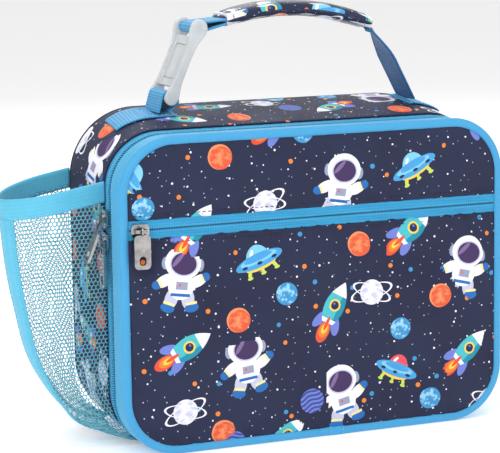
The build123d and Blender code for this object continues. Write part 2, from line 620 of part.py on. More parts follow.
# Clip: a plate with two ears at each end and a crossbar between each pair.
def clip_frame():
    """The clip's rigid frame, with its length along Z and its lower crossbar at the origin."""
    inner = CLIP_WIDTH / 2 - CLIP_EAR
    plate_low = CROSSBAR_RADIUS + CLIP_LOWER_SLOT
    plate_high = CLIP_LENGTH - CROSSBAR_RADIUS - CLIP_UPPER_SLOT
    outer = CLIP_WIDTH / 2
    plate = block(-CLIP_PLATE / 2, CLIP_PLATE / 2, -outer, outer, plate_low, plate_high)
    ends = Circle(CLIP_EAR_RADIUS) + Pos(0, CLIP_LENGTH) * Circle(CLIP_HEAD_RADIUS)
    side = Plane.XZ * make_hull(ends.edges())
    cheeks = extrude(side, amount=CLIP_WIDTH / 2, both=True)
    room = 30.0
    cheeks -= block(-room, room, -inner, inner, -room, CLIP_LENGTH + room)
    waist_half = CLIP_PLATE / 2 + CHEEK_PROUD
    waist = block(-waist_half, waist_half, -CLIP_WIDTH, CLIP_WIDTH, plate_low, plate_high)
    below_waist = block(-room, room, -room, room, -room, plate_low)
    above_waist = block(-room, room, -room, room, plate_high, CLIP_LENGTH + room)
    cheeks &= waist + below_waist + above_waist
    frame = plate + cheeks
    for height in (0, CLIP_LENGTH):
        frame += Pos(0, 0, height) * Rot(90, 0, 0) * Cylinder(CROSSBAR_RADIUS, 2 * inner + 1)
    return frame, (plate_low + plate_high) / 2


frame, gate_middle = clip_frame()
gate_zone = block(
    -CLIP_PLATE,
    CLIP_PLATE,
    -GATE_WIDTH / 2 - GATE_SLOT,
    GATE_WIDTH / 2 + GATE_SLOT,
    gate_middle - GATE_LENGTH / 2 - GATE_SLOT,
    gate_middle + GATE_LENGTH / 2,
)
gate = block(
    -CLIP_PLATE / 2 + 0.6,
    CLIP_PLATE / 2 - 0.6,
    -GATE_WIDTH / 2,
    GATE_WIDTH / 2,
    gate_middle - GATE_LENGTH / 2,
    gate_middle + GATE_LENGTH / 2 - CLEARANCE,
)
gate = fillet(gate.edges().filter_by(Axis.X).sort_by(Axis.Z)[:2], 3.0)
save(clip_place * (frame - gate_zone), "clip_frame")
save(clip_place * gate, "clip_gate")
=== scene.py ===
"""A children's insulated lunch bag with a mesh bottle pocket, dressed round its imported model.

The bag stands on z = 0 with its printed lid towards -Y and its bottle pocket towards -X.  Lengths here
are millimetres until a mesh is made, when MM turns them into metres.
"""
import logging
import math
from collections.abc import Callable, Sequence
from dataclasses import dataclass, field
from enum import Enum, IntEnum

import bmesh
import bpy
import numpy as np
from mathutils import Matrix, Vector


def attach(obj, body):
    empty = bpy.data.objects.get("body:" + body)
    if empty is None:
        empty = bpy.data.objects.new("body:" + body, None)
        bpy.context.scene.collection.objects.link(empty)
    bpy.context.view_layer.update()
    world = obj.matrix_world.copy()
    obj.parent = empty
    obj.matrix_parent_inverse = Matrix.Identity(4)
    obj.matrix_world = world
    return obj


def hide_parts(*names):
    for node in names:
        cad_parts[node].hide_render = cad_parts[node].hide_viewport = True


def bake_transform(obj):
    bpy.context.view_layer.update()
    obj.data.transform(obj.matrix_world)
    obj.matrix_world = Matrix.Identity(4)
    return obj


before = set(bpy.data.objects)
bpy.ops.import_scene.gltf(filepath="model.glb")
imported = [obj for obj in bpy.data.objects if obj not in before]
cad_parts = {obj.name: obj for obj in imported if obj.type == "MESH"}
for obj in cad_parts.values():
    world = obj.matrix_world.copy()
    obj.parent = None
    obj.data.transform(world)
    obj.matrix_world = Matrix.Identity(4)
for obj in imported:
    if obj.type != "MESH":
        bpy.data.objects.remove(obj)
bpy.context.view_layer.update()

logging.basicConfig(level=logging.INFO, format="%(name)s: %(message)s")
log = logging.getLogger("lunch_bag")

MM = 0.001
CELL = 50.0                     # side of one motif's square in the print's atlas
Array = np.ndarray
Colour = tuple[float, float, float]
Piece = bpy.types.Object


def srgb(red: int, green: int, blue: int) -> Colour:
    """Return the linear colour of an 8-bit sRGB one."""
    parts = np.array((red, green, blue)) / 255
    linear = np.where(parts <= 0.04045, parts / 12.92, ((parts + 0.055) / 1.055) ** 2.4)
    return tuple(float(v) for v in linear)


# ---------------------------------------------------------------- meshes from arrays

def grid_faces(rows: int, cols: int, wrap_rows: bool = False, wrap_cols: bool = False) -> Array:
    """Number the corners of every quad on a grid of points.

    Args:
        rows, cols: points down and across the grid.
        wrap_rows, wrap_cols: whether the last row or column meets the first.

    Returns:
        An (n, 4) array of point numbers.
    """
    r = np.arange(rows if wrap_rows else rows - 1)[:, None]
    c = np.arange(cols if wrap_cols else cols - 1)[None, :]
    r2, c2 = (r + 1) % rows, (c + 1) % cols
    quads = np.stack([r * cols + c, r * cols + c2, r2 * cols + c2, r2 * cols + c], axis=-1)
    return quads.reshape(-1, 4)


def turned_outwards(points: Array, faces: Array, away: Sequence[float]) -> Array:
    """Turn a sheet's quads so that, taken together, they face away from a point.

    Args:
        points: (n, 3) places; faces: (m, 4) corner numbers; away: the point behind the sheet.

    Returns:
        The faces, reversed where needed.
    """
    corner = points[faces]
    normal = np.cross(corner[:, 2] - corner[:, 0], corner[:, 3] - corner[:, 1])
    outward = np.einsum("ij,ij->", normal, corner.mean(axis=1) - np.asarray(away, float))
    return faces if outward > 0 else faces[:, ::-1]


def mesh_object(name: str, points: Array, faces: Array, flat: Array | None = None) -> Piece:
    """Put points and quads into a new smooth-shaded object at the origin.

    Args:
        name: the piece's name.
        points: (n, 3) places in millimetres.
        faces: (m, 4) corner numbers.
        flat: (n, 2) place of each point on the flat cloth, in millimetres, kept as the UV map "flat".

    Returns:
        The new object.
    """
    mesh = bpy.data.meshes.new(name)
    mesh.from_pydata((points * MM).tolist(), [], faces.tolist())
    mesh.polygons.foreach_set("use_smooth", np.ones(len(mesh.polygons), bool))
    if flat is not None:
        layer = mesh.uv_layers.new(name="flat")
        layer.data.foreach_set("uv", flat[faces.reshape(-1)].astype(np.float32).ravel())
    mesh.update()
    piece = bpy.data.objects.new(name, mesh)
    bpy.context.scene.collection.objects.link(piece)
    return piece


def sheet_object(
    name: str, grid: Array, flat: Array, away: Sequence[float],
    wrap_rows: bool = False, wrap_cols: bool = False,
) -> Piece:
    """Make a sheet from a (rows, cols, 3) grid of points.

    Args:
        name: the piece's name.
        grid: the points; flat: (rows, cols, 2) places on the flat cloth.
        away: a point that the sheet faces away from.
        wrap_rows, wrap_cols: whether the grid closes on itself that way.

    Returns:
        The new object.
    """
    rows, cols = grid.shape[:2]
    points = grid.reshape(-1, 3)
    faces = turned_outwards(points, grid_faces(rows, cols, wrap_rows, wrap_cols), away)
    return mesh_object(name, points, faces, flat.reshape(-1, 2))


def tube_object(name: str, rings: Array, flat: Array, closed: bool = False) -> Piece:
    """Make a solid from rings of points, with a flat cap on each open end.

    Args:
        name: the piece's name.
        rings: (rows, cols, 3) points, each row once round the section.
        flat: (rows, cols, 2) places on the cloth.
        closed: whether the last ring meets the first.

    Returns:
        The new object, with its faces outwards.
    """
    rows, cols = rings.shape[:2]
    points, cloth = rings.reshape(-1, 3), flat.reshape(-1, 2)
    faces = grid_faces(rows, cols, wrap_rows=closed, wrap_cols=True)
    if not closed:
        across = np.arange(cols // 2)
        caps = []
        for start in (0, (rows - 1) * cols):
            low, high = start + across, start + cols - 1 - across
            caps.append(np.stack([low[:-1], low[1:], high[1:], high[:-1]], axis=-1))
        faces = np.concatenate([faces, *caps])
    piece = mesh_object(name, points, faces, cloth)
    outwards(piece)
    return piece


def outwards(piece: Piece) -> None:
    """Turn the faces of a closed piece outwards."""
    work = bmesh.new()
    work.from_mesh(piece.data)
    bmesh.ops.recalc_face_normals(work, faces=work.faces)
    work.to_mesh(piece.data)
    work.free()
    piece.data.update()


def scattered(
    name: str, template: Array, faces: Array, origin: Array, run: Array, rise: Array,
    flat: Array | None = None,
) -> Piece:
    """Set a copy of a small solid at every place along a path, as one object.

    Args:
        name: the piece's name.
        template: (k, 3) points of the solid, as distances along the run, across it and up.
        faces: (f, 4) its corner numbers, facing outwards when run, side and rise are right-handed.
        origin: (n, 3) places; run and rise: (n, 3) unit vectors; the side is rise x run.
        flat: (n, 2) cloth place of each copy, if the finish reads it.

    Returns:
        The new object.
    """
    side = np.cross(rise, run)
    points = (
        origin[:, None]
        + template[None, :, 0:1] * run[:, None]
        + template[None, :, 1:2] * side[:, None]
        + template[None, :, 2:3] * rise[:, None]
    )
    count = len(template)
    every = (faces[None] + (np.arange(len(origin)) * count)[:, None, None]).reshape(-1, 4)
    cloth = np.repeat(flat, count, axis=0) if flat is not None else np.zeros((len(origin) * count, 2))
    return mesh_object(name, points.reshape(-1, 3), every, cloth)


def capsule(length: float, width: float, height: float) -> tuple[Array, Array]:
    """A stitch-sized solid: five oval sections along its run, the end ones drawn in.

    Returns:
        Its points and quads, for scattered().
    """
    along = np.array([-0.5, -0.36, 0.0, 0.36, 0.5]) * length
    size = np.array([0.35, 0.85, 1.0, 0.85, 0.35])
    turn = np.linspace(0, 2 * np.pi, 6, endpoint=False)
    points = np.stack(
        [
            np.broadcast_to(along[:, None], (5, 6)),
            size[:, None] * np.cos(turn)[None] * width / 2,
            size[:, None] * np.sin(turn)[None] * height / 2,
        ],
        axis=-1,
    ).reshape(-1, 3)
    ends = np.array([[0, 1, 2, 3], [0, 3, 4, 5], [27, 26, 25, 24], [29, 28, 27, 24]])
    faces = np.concatenate([grid_faces(5, 6, wrap_cols=True)[:, ::-1], ends[:, ::-1]])
    return points, faces


def thicken(piece: Piece, thickness: float, offset: float = -1.0) -> None:
    """Give a sheet its thickness, behind its face by default."""
    wall = piece.modifiers.new("Thickness", "SOLIDIFY")
    wall.thickness = thickness * MM
    wall.offset = offset
    wall.use_even_offset = False


def smooth_through(knots: Sequence[float], values: Sequence[float], at: Array) -> Array:
    """Cubic Hermite curve through knots, each slope taken from the knots on both sides.

    Args:
        knots: increasing places; values: the value at each; at: where the curve is wanted.

    Returns:
        The curve's values, held level past both ends.
    """
    x, y = np.asarray(knots, float), np.asarray(values, float)
    slope = np.gradient(y, x)
    spot = np.clip(np.asarray(at, float), x[0], x[-1])
    i = np.clip(np.searchsorted(x, spot, side="right") - 1, 0, len(x) - 2)
    gap = x[i + 1] - x[i]
    t = (spot - x[i]) / gap
    return (
        (2 * t**3 - 3 * t**2 + 1) * y[i]
        + (t**3 - 2 * t**2 + t) * gap * slope[i]
        + (3 * t**2 - 2 * t**3) * y[i + 1]
        + (t**3 - t**2) * gap * slope[i + 1]
    )


def unit(vectors: Array) -> Array:
    """The same (n, k) vectors, each 1 long."""
    return vectors / np.linalg.norm(vectors, axis=1)[:, None]


def square_to(run: Array, vectors: Array) -> Array:
    """The part of each vector at right angles to a unit run, 1 long."""
    return unit(vectors - run * (vectors * run).sum(axis=1)[:, None])


def paired(*parts: Array) -> Array:
    """Arrays broadcast together and set side by side along a new last axis."""
    return np.stack(np.broadcast_arrays(*parts), -1)


def run_lengths(line: Array) -> Array:
    """Distance of each point of a line from its first point."""
    steps = np.linalg.norm(np.diff(line, axis=0), axis=1)
    return np.concatenate([[0.0], np.cumsum(steps)])


def on_line(at: Array, far: Array, line: Array) -> Array:
    """Places at distances along a line, far being the distance of each of its points."""
    return np.stack([np.interp(at, far, line[:, k]) for k in range(line.shape[1])], axis=1)


def respaced(line: Array, step: float) -> Array:
    """The same line with its points an even step apart."""
    length = run_lengths(line)
    at = np.linspace(0, length[-1], max(2, round(length[-1] / step) + 1))
    return on_line(at, length, line)


def rounded_path(
    corners: Sequence[tuple[float, float]], radii: Sequence[float], step: float = 1.0
) -> Array:
    """Straight runs joined by arcs, as evenly spaced points.

    Each arc starts and ends radius * tan(turn / 2) from its corner.

    Args:
        corners: the route; radii: one for each inner corner; step: spacing of the points.

    Returns:
        (n, 2) points.
    """
    route = [np.asarray(c, float) for c in corners]
    pieces = [route[0][None]]
    for before, corner, after, radius in zip(route, route[1:], route[2:], radii):
        near = (before - corner) / np.linalg.norm(before - corner)
        far = (after - corner) / np.linalg.norm(after - corner)
        turn = math.pi - math.acos(float(np.clip(near @ far, -1, 1)))
        reach = radius * math.tan(turn / 2)
        middle = corner + (near + far) / np.linalg.norm(near + far) * radius / math.cos(turn / 2)
        start = corner + near * reach - middle
        side = np.sign(
            start[0] * (corner + far * reach - middle)[1] - start[1] * (corner + far * reach - middle)[0]
        )
        angle = side * np.linspace(0, turn, 13)
        pieces.append(
            middle
            + np.stack(
                [
                    start[0] * np.cos(angle) - start[1] * np.sin(angle),
                    start[0] * np.sin(angle) + start[1] * np.cos(angle),
                ],
                axis=1,
            )
        )
    pieces.append(route[-1][None])
    return respaced(np.concatenate(pieces), step)


# ---------------------------------------------------------------- shader maths

class Sock:
    """A node's output that can be used in an expression; each operator adds one node."""

    def __init__(self, shader: "Shader", output: bpy.types.NodeSocket, vector: bool = False) -> None:
        """Wrap an output of one of the shader's nodes."""
        self.shader, self.output, self.vector = shader, output, vector

    def _join(self, operation: str, *others: "Sock | float | Colour", swap: bool = False) -> "Sock":
        """Add the Math or Vector Math node of an operation on this value and others."""
        terms = [self, *others]
        if swap:
            terms.reverse()
        vector = self.vector or any(isinstance(t, Sock) and t.vector for t in terms)
        kind = "ShaderNodeVectorMath" if vector else "ShaderNodeMath"
        whole = [(t, t, t) if vector and isinstance(t, (int, float)) else t for t in terms]
        node = self.shader.node(kind, {"operation": operation}, dict(enumerate(whole)))
        return Sock(self.shader, node.outputs[0], vector)

    def __add__(self, other: "Sock | float | Colour") -> "Sock":
        """Sum."""
        return self._join("ADD", other)

    def __sub__(self, other: "Sock | float | Colour") -> "Sock":
        """Difference."""
        return self._join("SUBTRACT", other)

    def __rsub__(self, other: float) -> "Sock":
        """Difference from a number."""
        return self._join("SUBTRACT", other, swap=True)

    def __mul__(self, other: "Sock | float | Colour") -> "Sock":
        """Product."""
        return self._join("MULTIPLY", other)

    def __truediv__(self, other: "Sock | float") -> "Sock":
        """Quotient."""
        return self._join("DIVIDE", other)

    def __abs__(self) -> "Sock":
        """Size without sign."""
        return self._join("ABSOLUTE")

    def __lt__(self, other: "Sock | float") -> "Sock":
        """1 where this is less, else 0."""
        return self._join("LESS_THAN", other)

    def __gt__(self, other: "Sock | float") -> "Sock":
        """1 where this is greater, else 0."""
        return self._join("GREATER_THAN", other)

    __radd__, __rmul__ = __add__, __mul__

    def sin(self) -> "Sock":
        """Sine of an angle in radians."""
        return self._join("SINE")

    def at_least(self, other: "Sock | float") -> "Sock":
        """The larger of two."""
        return self._join("MAXIMUM", other)

    def length(self) -> "Sock":
        """Length of a vector."""
        node = self.shader.node("ShaderNodeVectorMath", {"operation": "LENGTH"}, {0: self})
        return Sock(self.shader, node.outputs["Value"])

    def axes(self) -> "tuple[Sock, Sock, Sock]":
        """The three numbers of a vector."""
        node = self.shader.node("ShaderNodeSeparateXYZ", {}, {0: self})
        return tuple(Sock(self.shader, out) for out in node.outputs)

    def between(self, low: float, high: float) -> "Sock":
        """0 at low and 1 at high, held beyond them."""
        values = {"Value": self, "From Min": low, "From Max": high}
        node = self.shader.node("ShaderNodeMapRange", {"clamp": True}, values)
        return Sock(self.shader, node.outputs[0])


class Shader:
    """A material being built node by node."""

    def __init__(self, name: str) -> None:
        """Start a material with its Principled shader and nothing else."""
        self.material = bpy.data.materials.new(name)
        self.material.use_nodes = True
        self.tree = self.material.node_tree
        self.surface = self.tree.nodes["Principled BSDF"]

    def node(self, kind: str, settings: dict | None = None, inputs: dict | None = None) -> bpy.types.Node:
        """Add a node.

        Args:
            kind: its type name.
            settings: its properties, and for a ramp "stops" as (place, colour) pairs.
            inputs: what goes into each socket, a number, a colour, a vector or a Sock.

        Returns:
            The node.
        """
        node = self.tree.nodes.new(kind)
        settings = dict(settings or {})
        stops = settings.pop("stops", None)
        for key, value in settings.items():
            setattr(node, key, value)
        if stops:
            elements = node.color_ramp.elements
            while len(elements) < len(stops):
                elements.new(1.0)
            for element, (place, colour) in zip(elements, stops):
                element.position, element.color = place, (*colour, 1.0)
        for key, value in (inputs or {}).items():
            self.feed(node.inputs[key], value)
        return node

    def feed(self, socket: bpy.types.NodeSocket, value: "Sock | float | Sequence[float]") -> None:
        """Set a socket's value, or link it."""
        if isinstance(value, Sock):
            self.tree.links.new(value.output, socket)
        elif socket.type == "RGBA":
            socket.default_value = (*value, 1.0)
        else:
            socket.default_value = value

    def cloth(self) -> Sock:
        """Place on the flat cloth in millimetres, from the piece's own map."""
        return Sock(self, self.node("ShaderNodeUVMap", {"uv_map": "flat"}).outputs[0], True)

    def place(self) -> Sock:
        """Place on the object in millimetres."""
        node = self.node("ShaderNodeTexCoord")
        return Sock(self, node.outputs["Object"], True) * (1 / MM)

    def noise(self, at: Sock, size: float, detail: float = 2.0, rough: float = 0.5) -> Sock:
        """Smooth noise between 0 and 1 whose lumps are about size millimetres across."""
        inputs = {"Vector": at, "Scale": 1 / size, "Detail": detail, "Roughness": rough}
        return Sock(self, self.node("ShaderNodeTexNoise", {}, inputs).outputs[0])

    def mix(self, share: "Sock | float", under: "Sock | Colour", over: "Sock | Colour") -> Sock:
        """Blend two colours."""
        node = self.node("ShaderNodeMix", {"data_type": "RGBA"}, {0: share, 6: under, 7: over})
        return Sock(self, node.outputs[2], True)

    def bump(self, height: Sock, depth: float, under: Sock | None = None) -> Sock:
        """Turn a height between 0 and 1, depth millimetres high, into a normal."""
        inputs = {"Height": height, "Distance": depth * MM, "Strength": 1.0}
        if under is not None:
            inputs["Normal"] = under
        return Sock(self, self.node("ShaderNodeBump", {}, inputs).outputs[0], True)

    def finish(self, **sockets: "Sock | float | Colour") -> bpy.types.Material:
        """Fill the Principled shader's sockets, named with _ for a space, and hand back the material."""
        for key, value in sockets.items():
            self.feed(self.surface.inputs[key.replace("_", " ")], value)
        return self.material


# ---------------------------------------------------------------- the print

class Motif(IntEnum):
    """The print's drawings, in the order of their squares in the atlas."""

    ASTRONAUT = 0
    ROCKET = 1
    SAUCER = 2
    RINGED = 3
    ORANGE = 4
    BLUE = 5
    RED_SAUCER = 6
    STRIPED = 7


@dataclass(frozen=True)
class Placed:
    """One drawing on the cloth: which, where in millimetres, and how far it leans in degrees."""

    motif: Motif
    across: float
    up: float
    lean: float = 0.0


INK = {
    "ground": srgb(37, 40, 66), "white": srgb(240, 238, 248), "shade": srgb(196, 198, 222),
    "visor": srgb(70, 52, 92), "glint": srgb(128, 104, 150), "glove": srgb(44, 108, 180),
    "cuff": srgb(240, 226, 150), "grey": srgb(150, 158, 184), "aqua": srgb(76, 186, 196),
    "teal": srgb(40, 140, 166), "navy": srgb(34, 48, 92), "yellow": srgb(246, 206, 80),
    "periwinkle": srgb(112, 128, 206), "red": srgb(226, 84, 62), "orange": srgb(240, 132, 52),
    "sky": srgb(74, 158, 214), "dome": srgb(126, 200, 232), "pink": srgb(232, 84, 96),
    "leg": srgb(196, 214, 96), "planet": srgb(222, 92, 62), "glow": srgb(240, 146, 96),
    "ocean": srgb(64, 146, 200), "foam": srgb(150, 206, 232), "stripe": srgb(64, 78, 150),
}


class Painter:
    """Lays flat shapes over each other on the atlas, one motif's square at a time."""

    def __init__(self, shader: Shader, at: Sock, ground: Sock) -> None:
        """Start on a ground; at is the place in the atlas in millimetres."""
        self.shader, self.at, self.colour = shader, at, ground
        self.corner = np.zeros(2)

    def square(self, motif: Motif) -> None:
        """Move to the middle of a motif's square."""
        self.corner = np.array([(motif + 0.5) * CELL, 0.5 * CELL])

    def local(self, centre: tuple[float, float], size: tuple[float, float], lean: float = 0.0) -> Sock:
        """The atlas measured from a centre, turned by lean degrees, and in units of size."""
        inputs = {
            "Vector": self.at,
            "Location": (*(self.corner + centre), 0.0),
            "Rotation": (0.0, 0.0, math.radians(lean)),
            "Scale": (*size, 1.0),
        }
        node = self.shader.node("ShaderNodeMapping", {"vector_type": "TEXTURE"}, inputs)
        return Sock(self.shader, node.outputs[0], True)

    def paint(self, mask: Sock, ink: "str | Sock") -> Sock:
        """Lay an ink over what is there; returns the mask."""
        over = INK[ink] if isinstance(ink, str) else ink
        self.colour = self.shader.mix(mask, self.colour, over)
        return mask

    def oval(self, ink: "str | Sock", x: float, y: float, rx: float, ry: float, lean: float = 0.0) -> Sock:
        """Paint an ellipse: its local radius is under 1."""
        return self.paint(self.local((x, y), (rx, ry), lean).length() < 1.0, ink)

    def half_oval(self, ink: str, x: float, y: float, rx: float, ry: float, lean: float = 0.0) -> Sock:
        """Paint the upper half of an ellipse."""
        at = self.local((x, y), (rx, ry), lean)
        return self.paint((at.length() < 1.0) * (at.axes()[1] > 0.0), ink)

    def box(self, ink: str, x: float, y: float, rx: float, ry: float, lean: float = 0.0) -> Sock:
        """Paint a rectangle: the larger of its local distances is under 1."""
        across, up, _ = abs(self.local((x, y), (rx, ry), lean)).axes()
        return self.paint(across.at_least(up) < 1.0, ink)

    def hoop(self, ink: str, x: float, y: float, rx: float, ry: float, lean: float, line: float) -> Sock:
        """Paint the outline of an ellipse, line being its half width as a share of the radius."""
        return self.paint(abs(self.local((x, y), (rx, ry), lean).length() - 1.0) < line, ink)


def draw_astronaut(pen: Painter) -> None:
    """A suited figure: limbs and boots behind, then body, pack straps, helmet and visor."""
    pen.square(Motif.ASTRONAUT)
    for side, (knee, boot) in ((-1, ((-5.2, -11.5), (-7.0, -17.0))), (1, ((5.0, -11.0), (8.0, -16.0)))):
        pen.oval("shade", *knee, 4.0, 6.4, side * 12)
        pen.oval("glove", *boot, 4.4, 2.7, side * 14)
        pen.box("cuff", boot[0] - side * 0.6, boot[1] + 2.6, 3.5, 0.8, side * 14)
    for hand, arm, lean in (((-15.0, -4.2), (-10.2, -1.2), 32), ((14.8, 2.6), (10.0, -0.2), 30)):
        pen.oval("white", *arm, 6.4, 3.3, lean)
        pen.oval("glove", *hand, 2.7, 2.5)
    pen.box("cuff", -13.0, -3.0, 0.7, 2.5, 32)
    pen.box("cuff", 12.8, 1.5, 0.7, 2.5, 30)
    pen.oval("white", 0.0, -3.6, 8.0, 8.2)
    pen.box("glove", 0.0, -9.0, 6.0, 0.9)
    pen.box("grey", 0.4, -3.6, 3.6, 2.3)
    pen.box("pink", -1.0, -3.2, 0.7, 0.7)
    for side in (-1, 1):
        pen.oval("grey", side * 10.8, 9.0, 2.2, 3.6)
    pen.oval("white", 0.0, 9.8, 11.0, 9.8)
    pen.oval("shade", 0.5, 9.2, 8.6, 7.3)
    face = pen.oval("visor", 0.5, 9.2, 7.7, 6.4)
    gleam = pen.local((-3.2, 11.2), (1.3, 5.2), -38).length() < 1.0
    pen.paint(face * gleam, "glint")


def draw_rocket(pen: Painter) -> None:
    """A rocket pointing up: flame, fins, a hull whose half width is 6.6 (1 - t^2), nose and window."""
    pen.square(Motif.ROCKET)
    pen.oval("red", 0.0, -14.0, 3.9, 6.8)
    pen.oval("orange", 0.0, -12.8, 2.9, 5.0)
    pen.oval("yellow", 0.0, -11.8, 1.7, 3.2)
    for side in (-1, 1):
        pen.oval("periwinkle", side * 5.4, -7.6, 2.9, 6.2, side * 24)
    across, up, _ = pen.local((0.0, 2.5), (1.0, 16.0)).axes()
    low = up > -0.66
    hull = (abs(across) < (1.0 - up * up) * 6.6) * low
    pen.paint(hull, "aqua")
    pen.paint(hull * (across > 2.6), "teal")
    pen.paint(hull * (up > 0.46), "white")
    pen.paint(hull * (up < -0.5), "white")
    pen.oval("yellow", 0.0, 3.4, 3.7, 3.7)
    pen.oval("navy", 0.0, 3.4, 2.6, 2.6)
    pen.oval("glint", -0.8, 4.2, 0.9, 0.7)
    pen.oval("red", 0.0, -8.4, 1.1, 4.6)


def draw_saucer(pen: Painter, motif: Motif, dome: str) -> None:
    """A flying saucer: three legs, a yellow keel, a dome with its highlight and a disc with windows."""
    pen.square(motif)
    for x, lean in ((-8.2, -24), (0.0, 0), (8.2, 24)):
        pen.oval("leg", x, -6.6, 1.1, 2.8, lean)
        pen.oval("leg", x * 1.08, -8.8, 1.7, 0.9)
    pen.oval("yellow", 0.0, -3.6, 10.0, 3.0)
    pen.half_oval(dome, 0.0, 0.0, 7.4, 8.6)
    pen.oval("white", -2.8, 4.8, 1.0, 2.2, -38)
    pen.oval("sky", 0.0, -0.8, 15.4, 4.3)
    pen.oval("dome", 0.0, 0.2, 12.0, 2.5)
    pen.oval("sky", 0.0, 0.9, 9.2, 1.9)
    for side in (-1, 0, 1):
        pen.oval("navy", side * 9.6, -2.0 - 0.5 * (1 - abs(side)), 1.7, 0.9)


def draw_planets(pen: Painter, mottle: Sock, ripple: Sock) -> None:
    """The ringed, orange, blue and striped planets; mottle and ripple are noises that mark them."""
    pen.square(Motif.RINGED)
    pen.oval(pen.shader.mix(mottle.between(0.42, 0.6), INK["white"], INK["shade"]), 0.0, 0.0, 7.6, 7.6)
    pen.hoop("white", 0.0, 0.0, 13.4, 4.4, 22, 0.055)
    pen.hoop("white", 0.0, 0.0, 12.8, 4.0, -16, 0.055)
    pen.square(Motif.ORANGE)
    pen.oval("glow", 0.0, 0.0, 7.4, 7.4)
    pen.oval(pen.shader.mix(mottle.between(0.45, 0.62), INK["planet"], INK["glow"]), 0.5, -0.6, 6.9, 6.8)
    pen.square(Motif.BLUE)
    pen.oval(pen.shader.mix(mottle.between(0.5, 0.56), INK["ocean"], INK["foam"]), 0.0, 0.0, 6.8, 6.8)
    pen.square(Motif.STRIPED)
    banded = pen.shader.mix(ripple > 0.0, INK["periwinkle"], INK["stripe"])
    pen.oval(banded, 0.0, 0.0, 7.6, 7.6)


@dataclass(frozen=True)
class PrintFinish:
    """Fine polyester printed with stars and space drawings on navy."""

    name: str = "space_print"
    weave: float = 0.85
    roughness: float = 0.66
    sheen: float = 0.03

    def stars(self, shader: Shader, at: Sock, ground: Sock) -> Sock:
        """Scatter small dots, larger coloured dots and four-armed stars over the ground.

        Returns:
            The ground with its stars; each sits at the middle of a random cell.
        """
        colour = ground
        for cell, low, high, ink in (
            (7.0, 0.14, 0.42, INK["shade"]), (13.0, 0.3, 0.7, INK["white"]),
            (33.0, 1.3, 1.5, INK["orange"]), (39.0, 1.3, 1.5, INK["ocean"]),
        ):
            dots = shader.node(
                "ShaderNodeTexVoronoi", {"voronoi_dimensions": "2D"}, {"Vector": at, "Scale": 1 / cell}
            )
            chance = Sock(shader, dots.outputs["Color"], True).axes()[0]
            radius = chance * ((high - low) / cell) + low / cell
            near = Sock(shader, dots.outputs["Distance"]) < radius
            colour = shader.mix(near * (chance > 0.25), colour, ink)
        cell = 24.0
        cells = shader.node(
            "ShaderNodeTexVoronoi", {"voronoi_dimensions": "2D"}, {"Vector": at, "Scale": 1 / cell}
        )
        centre = Sock(shader, cells.outputs["Position"], True)
        across, up, _ = abs(at * (1 / cell) - centre).axes()
        star = (across + up + across * up * 900.0) < 2.4 / cell
        return shader.mix(star, colour, INK["white"])

    def material(self) -> bpy.types.Material:
        """Build the print: ground, stars, drawings, then the weave and a little wear in its roughness."""
        shader = Shader(self.name)
        at = shader.cloth()
        cloud = shader.noise(at, 60.0, 3.0)
        ground = shader.mix(cloud.between(0.35, 0.7), INK["ground"], srgb(42, 49, 76))
        ground = self.stars(shader, at, ground)
        atlas = Sock(shader, shader.node("ShaderNodeUVMap", {"uv_map": "motif"}).outputs[0], True) * CELL
        pen = Painter(shader, atlas, ground)
        across, up, _ = atlas.axes()
        mottle = shader.noise(atlas, 4.2, 3.0, 0.6)
        ripple = (up * 2.3 + (across * 0.55).sin() * 1.6).sin()
        draw_planets(pen, mottle, ripple)
        draw_saucer(pen, Motif.SAUCER, "dome")
        draw_saucer(pen, Motif.RED_SAUCER, "pink")
        draw_rocket(pen)
        draw_astronaut(pen)
        u, v, _ = at.axes()
        thread = 2 * math.pi / self.weave
        weave = (u * thread).sin() * (v * thread).sin()
        worn = pen.colour * (weave * 0.05 + (shader.noise(at, 0.9, 1.0) - 0.5) * 0.16 + 1.0)
        return shader.finish(
            Base_Color=worn,
            Roughness=shader.noise(at, 22.0) * 0.16 + (self.roughness - 0.08),
            Sheen_Weight=self.sheen,
            Sheen_Roughness=0.4,
            Specular_IOR_Level=0.2,
            Normal=shader.bump(weave * 0.5 + shader.noise(at, 1.6), 0.05),
        )


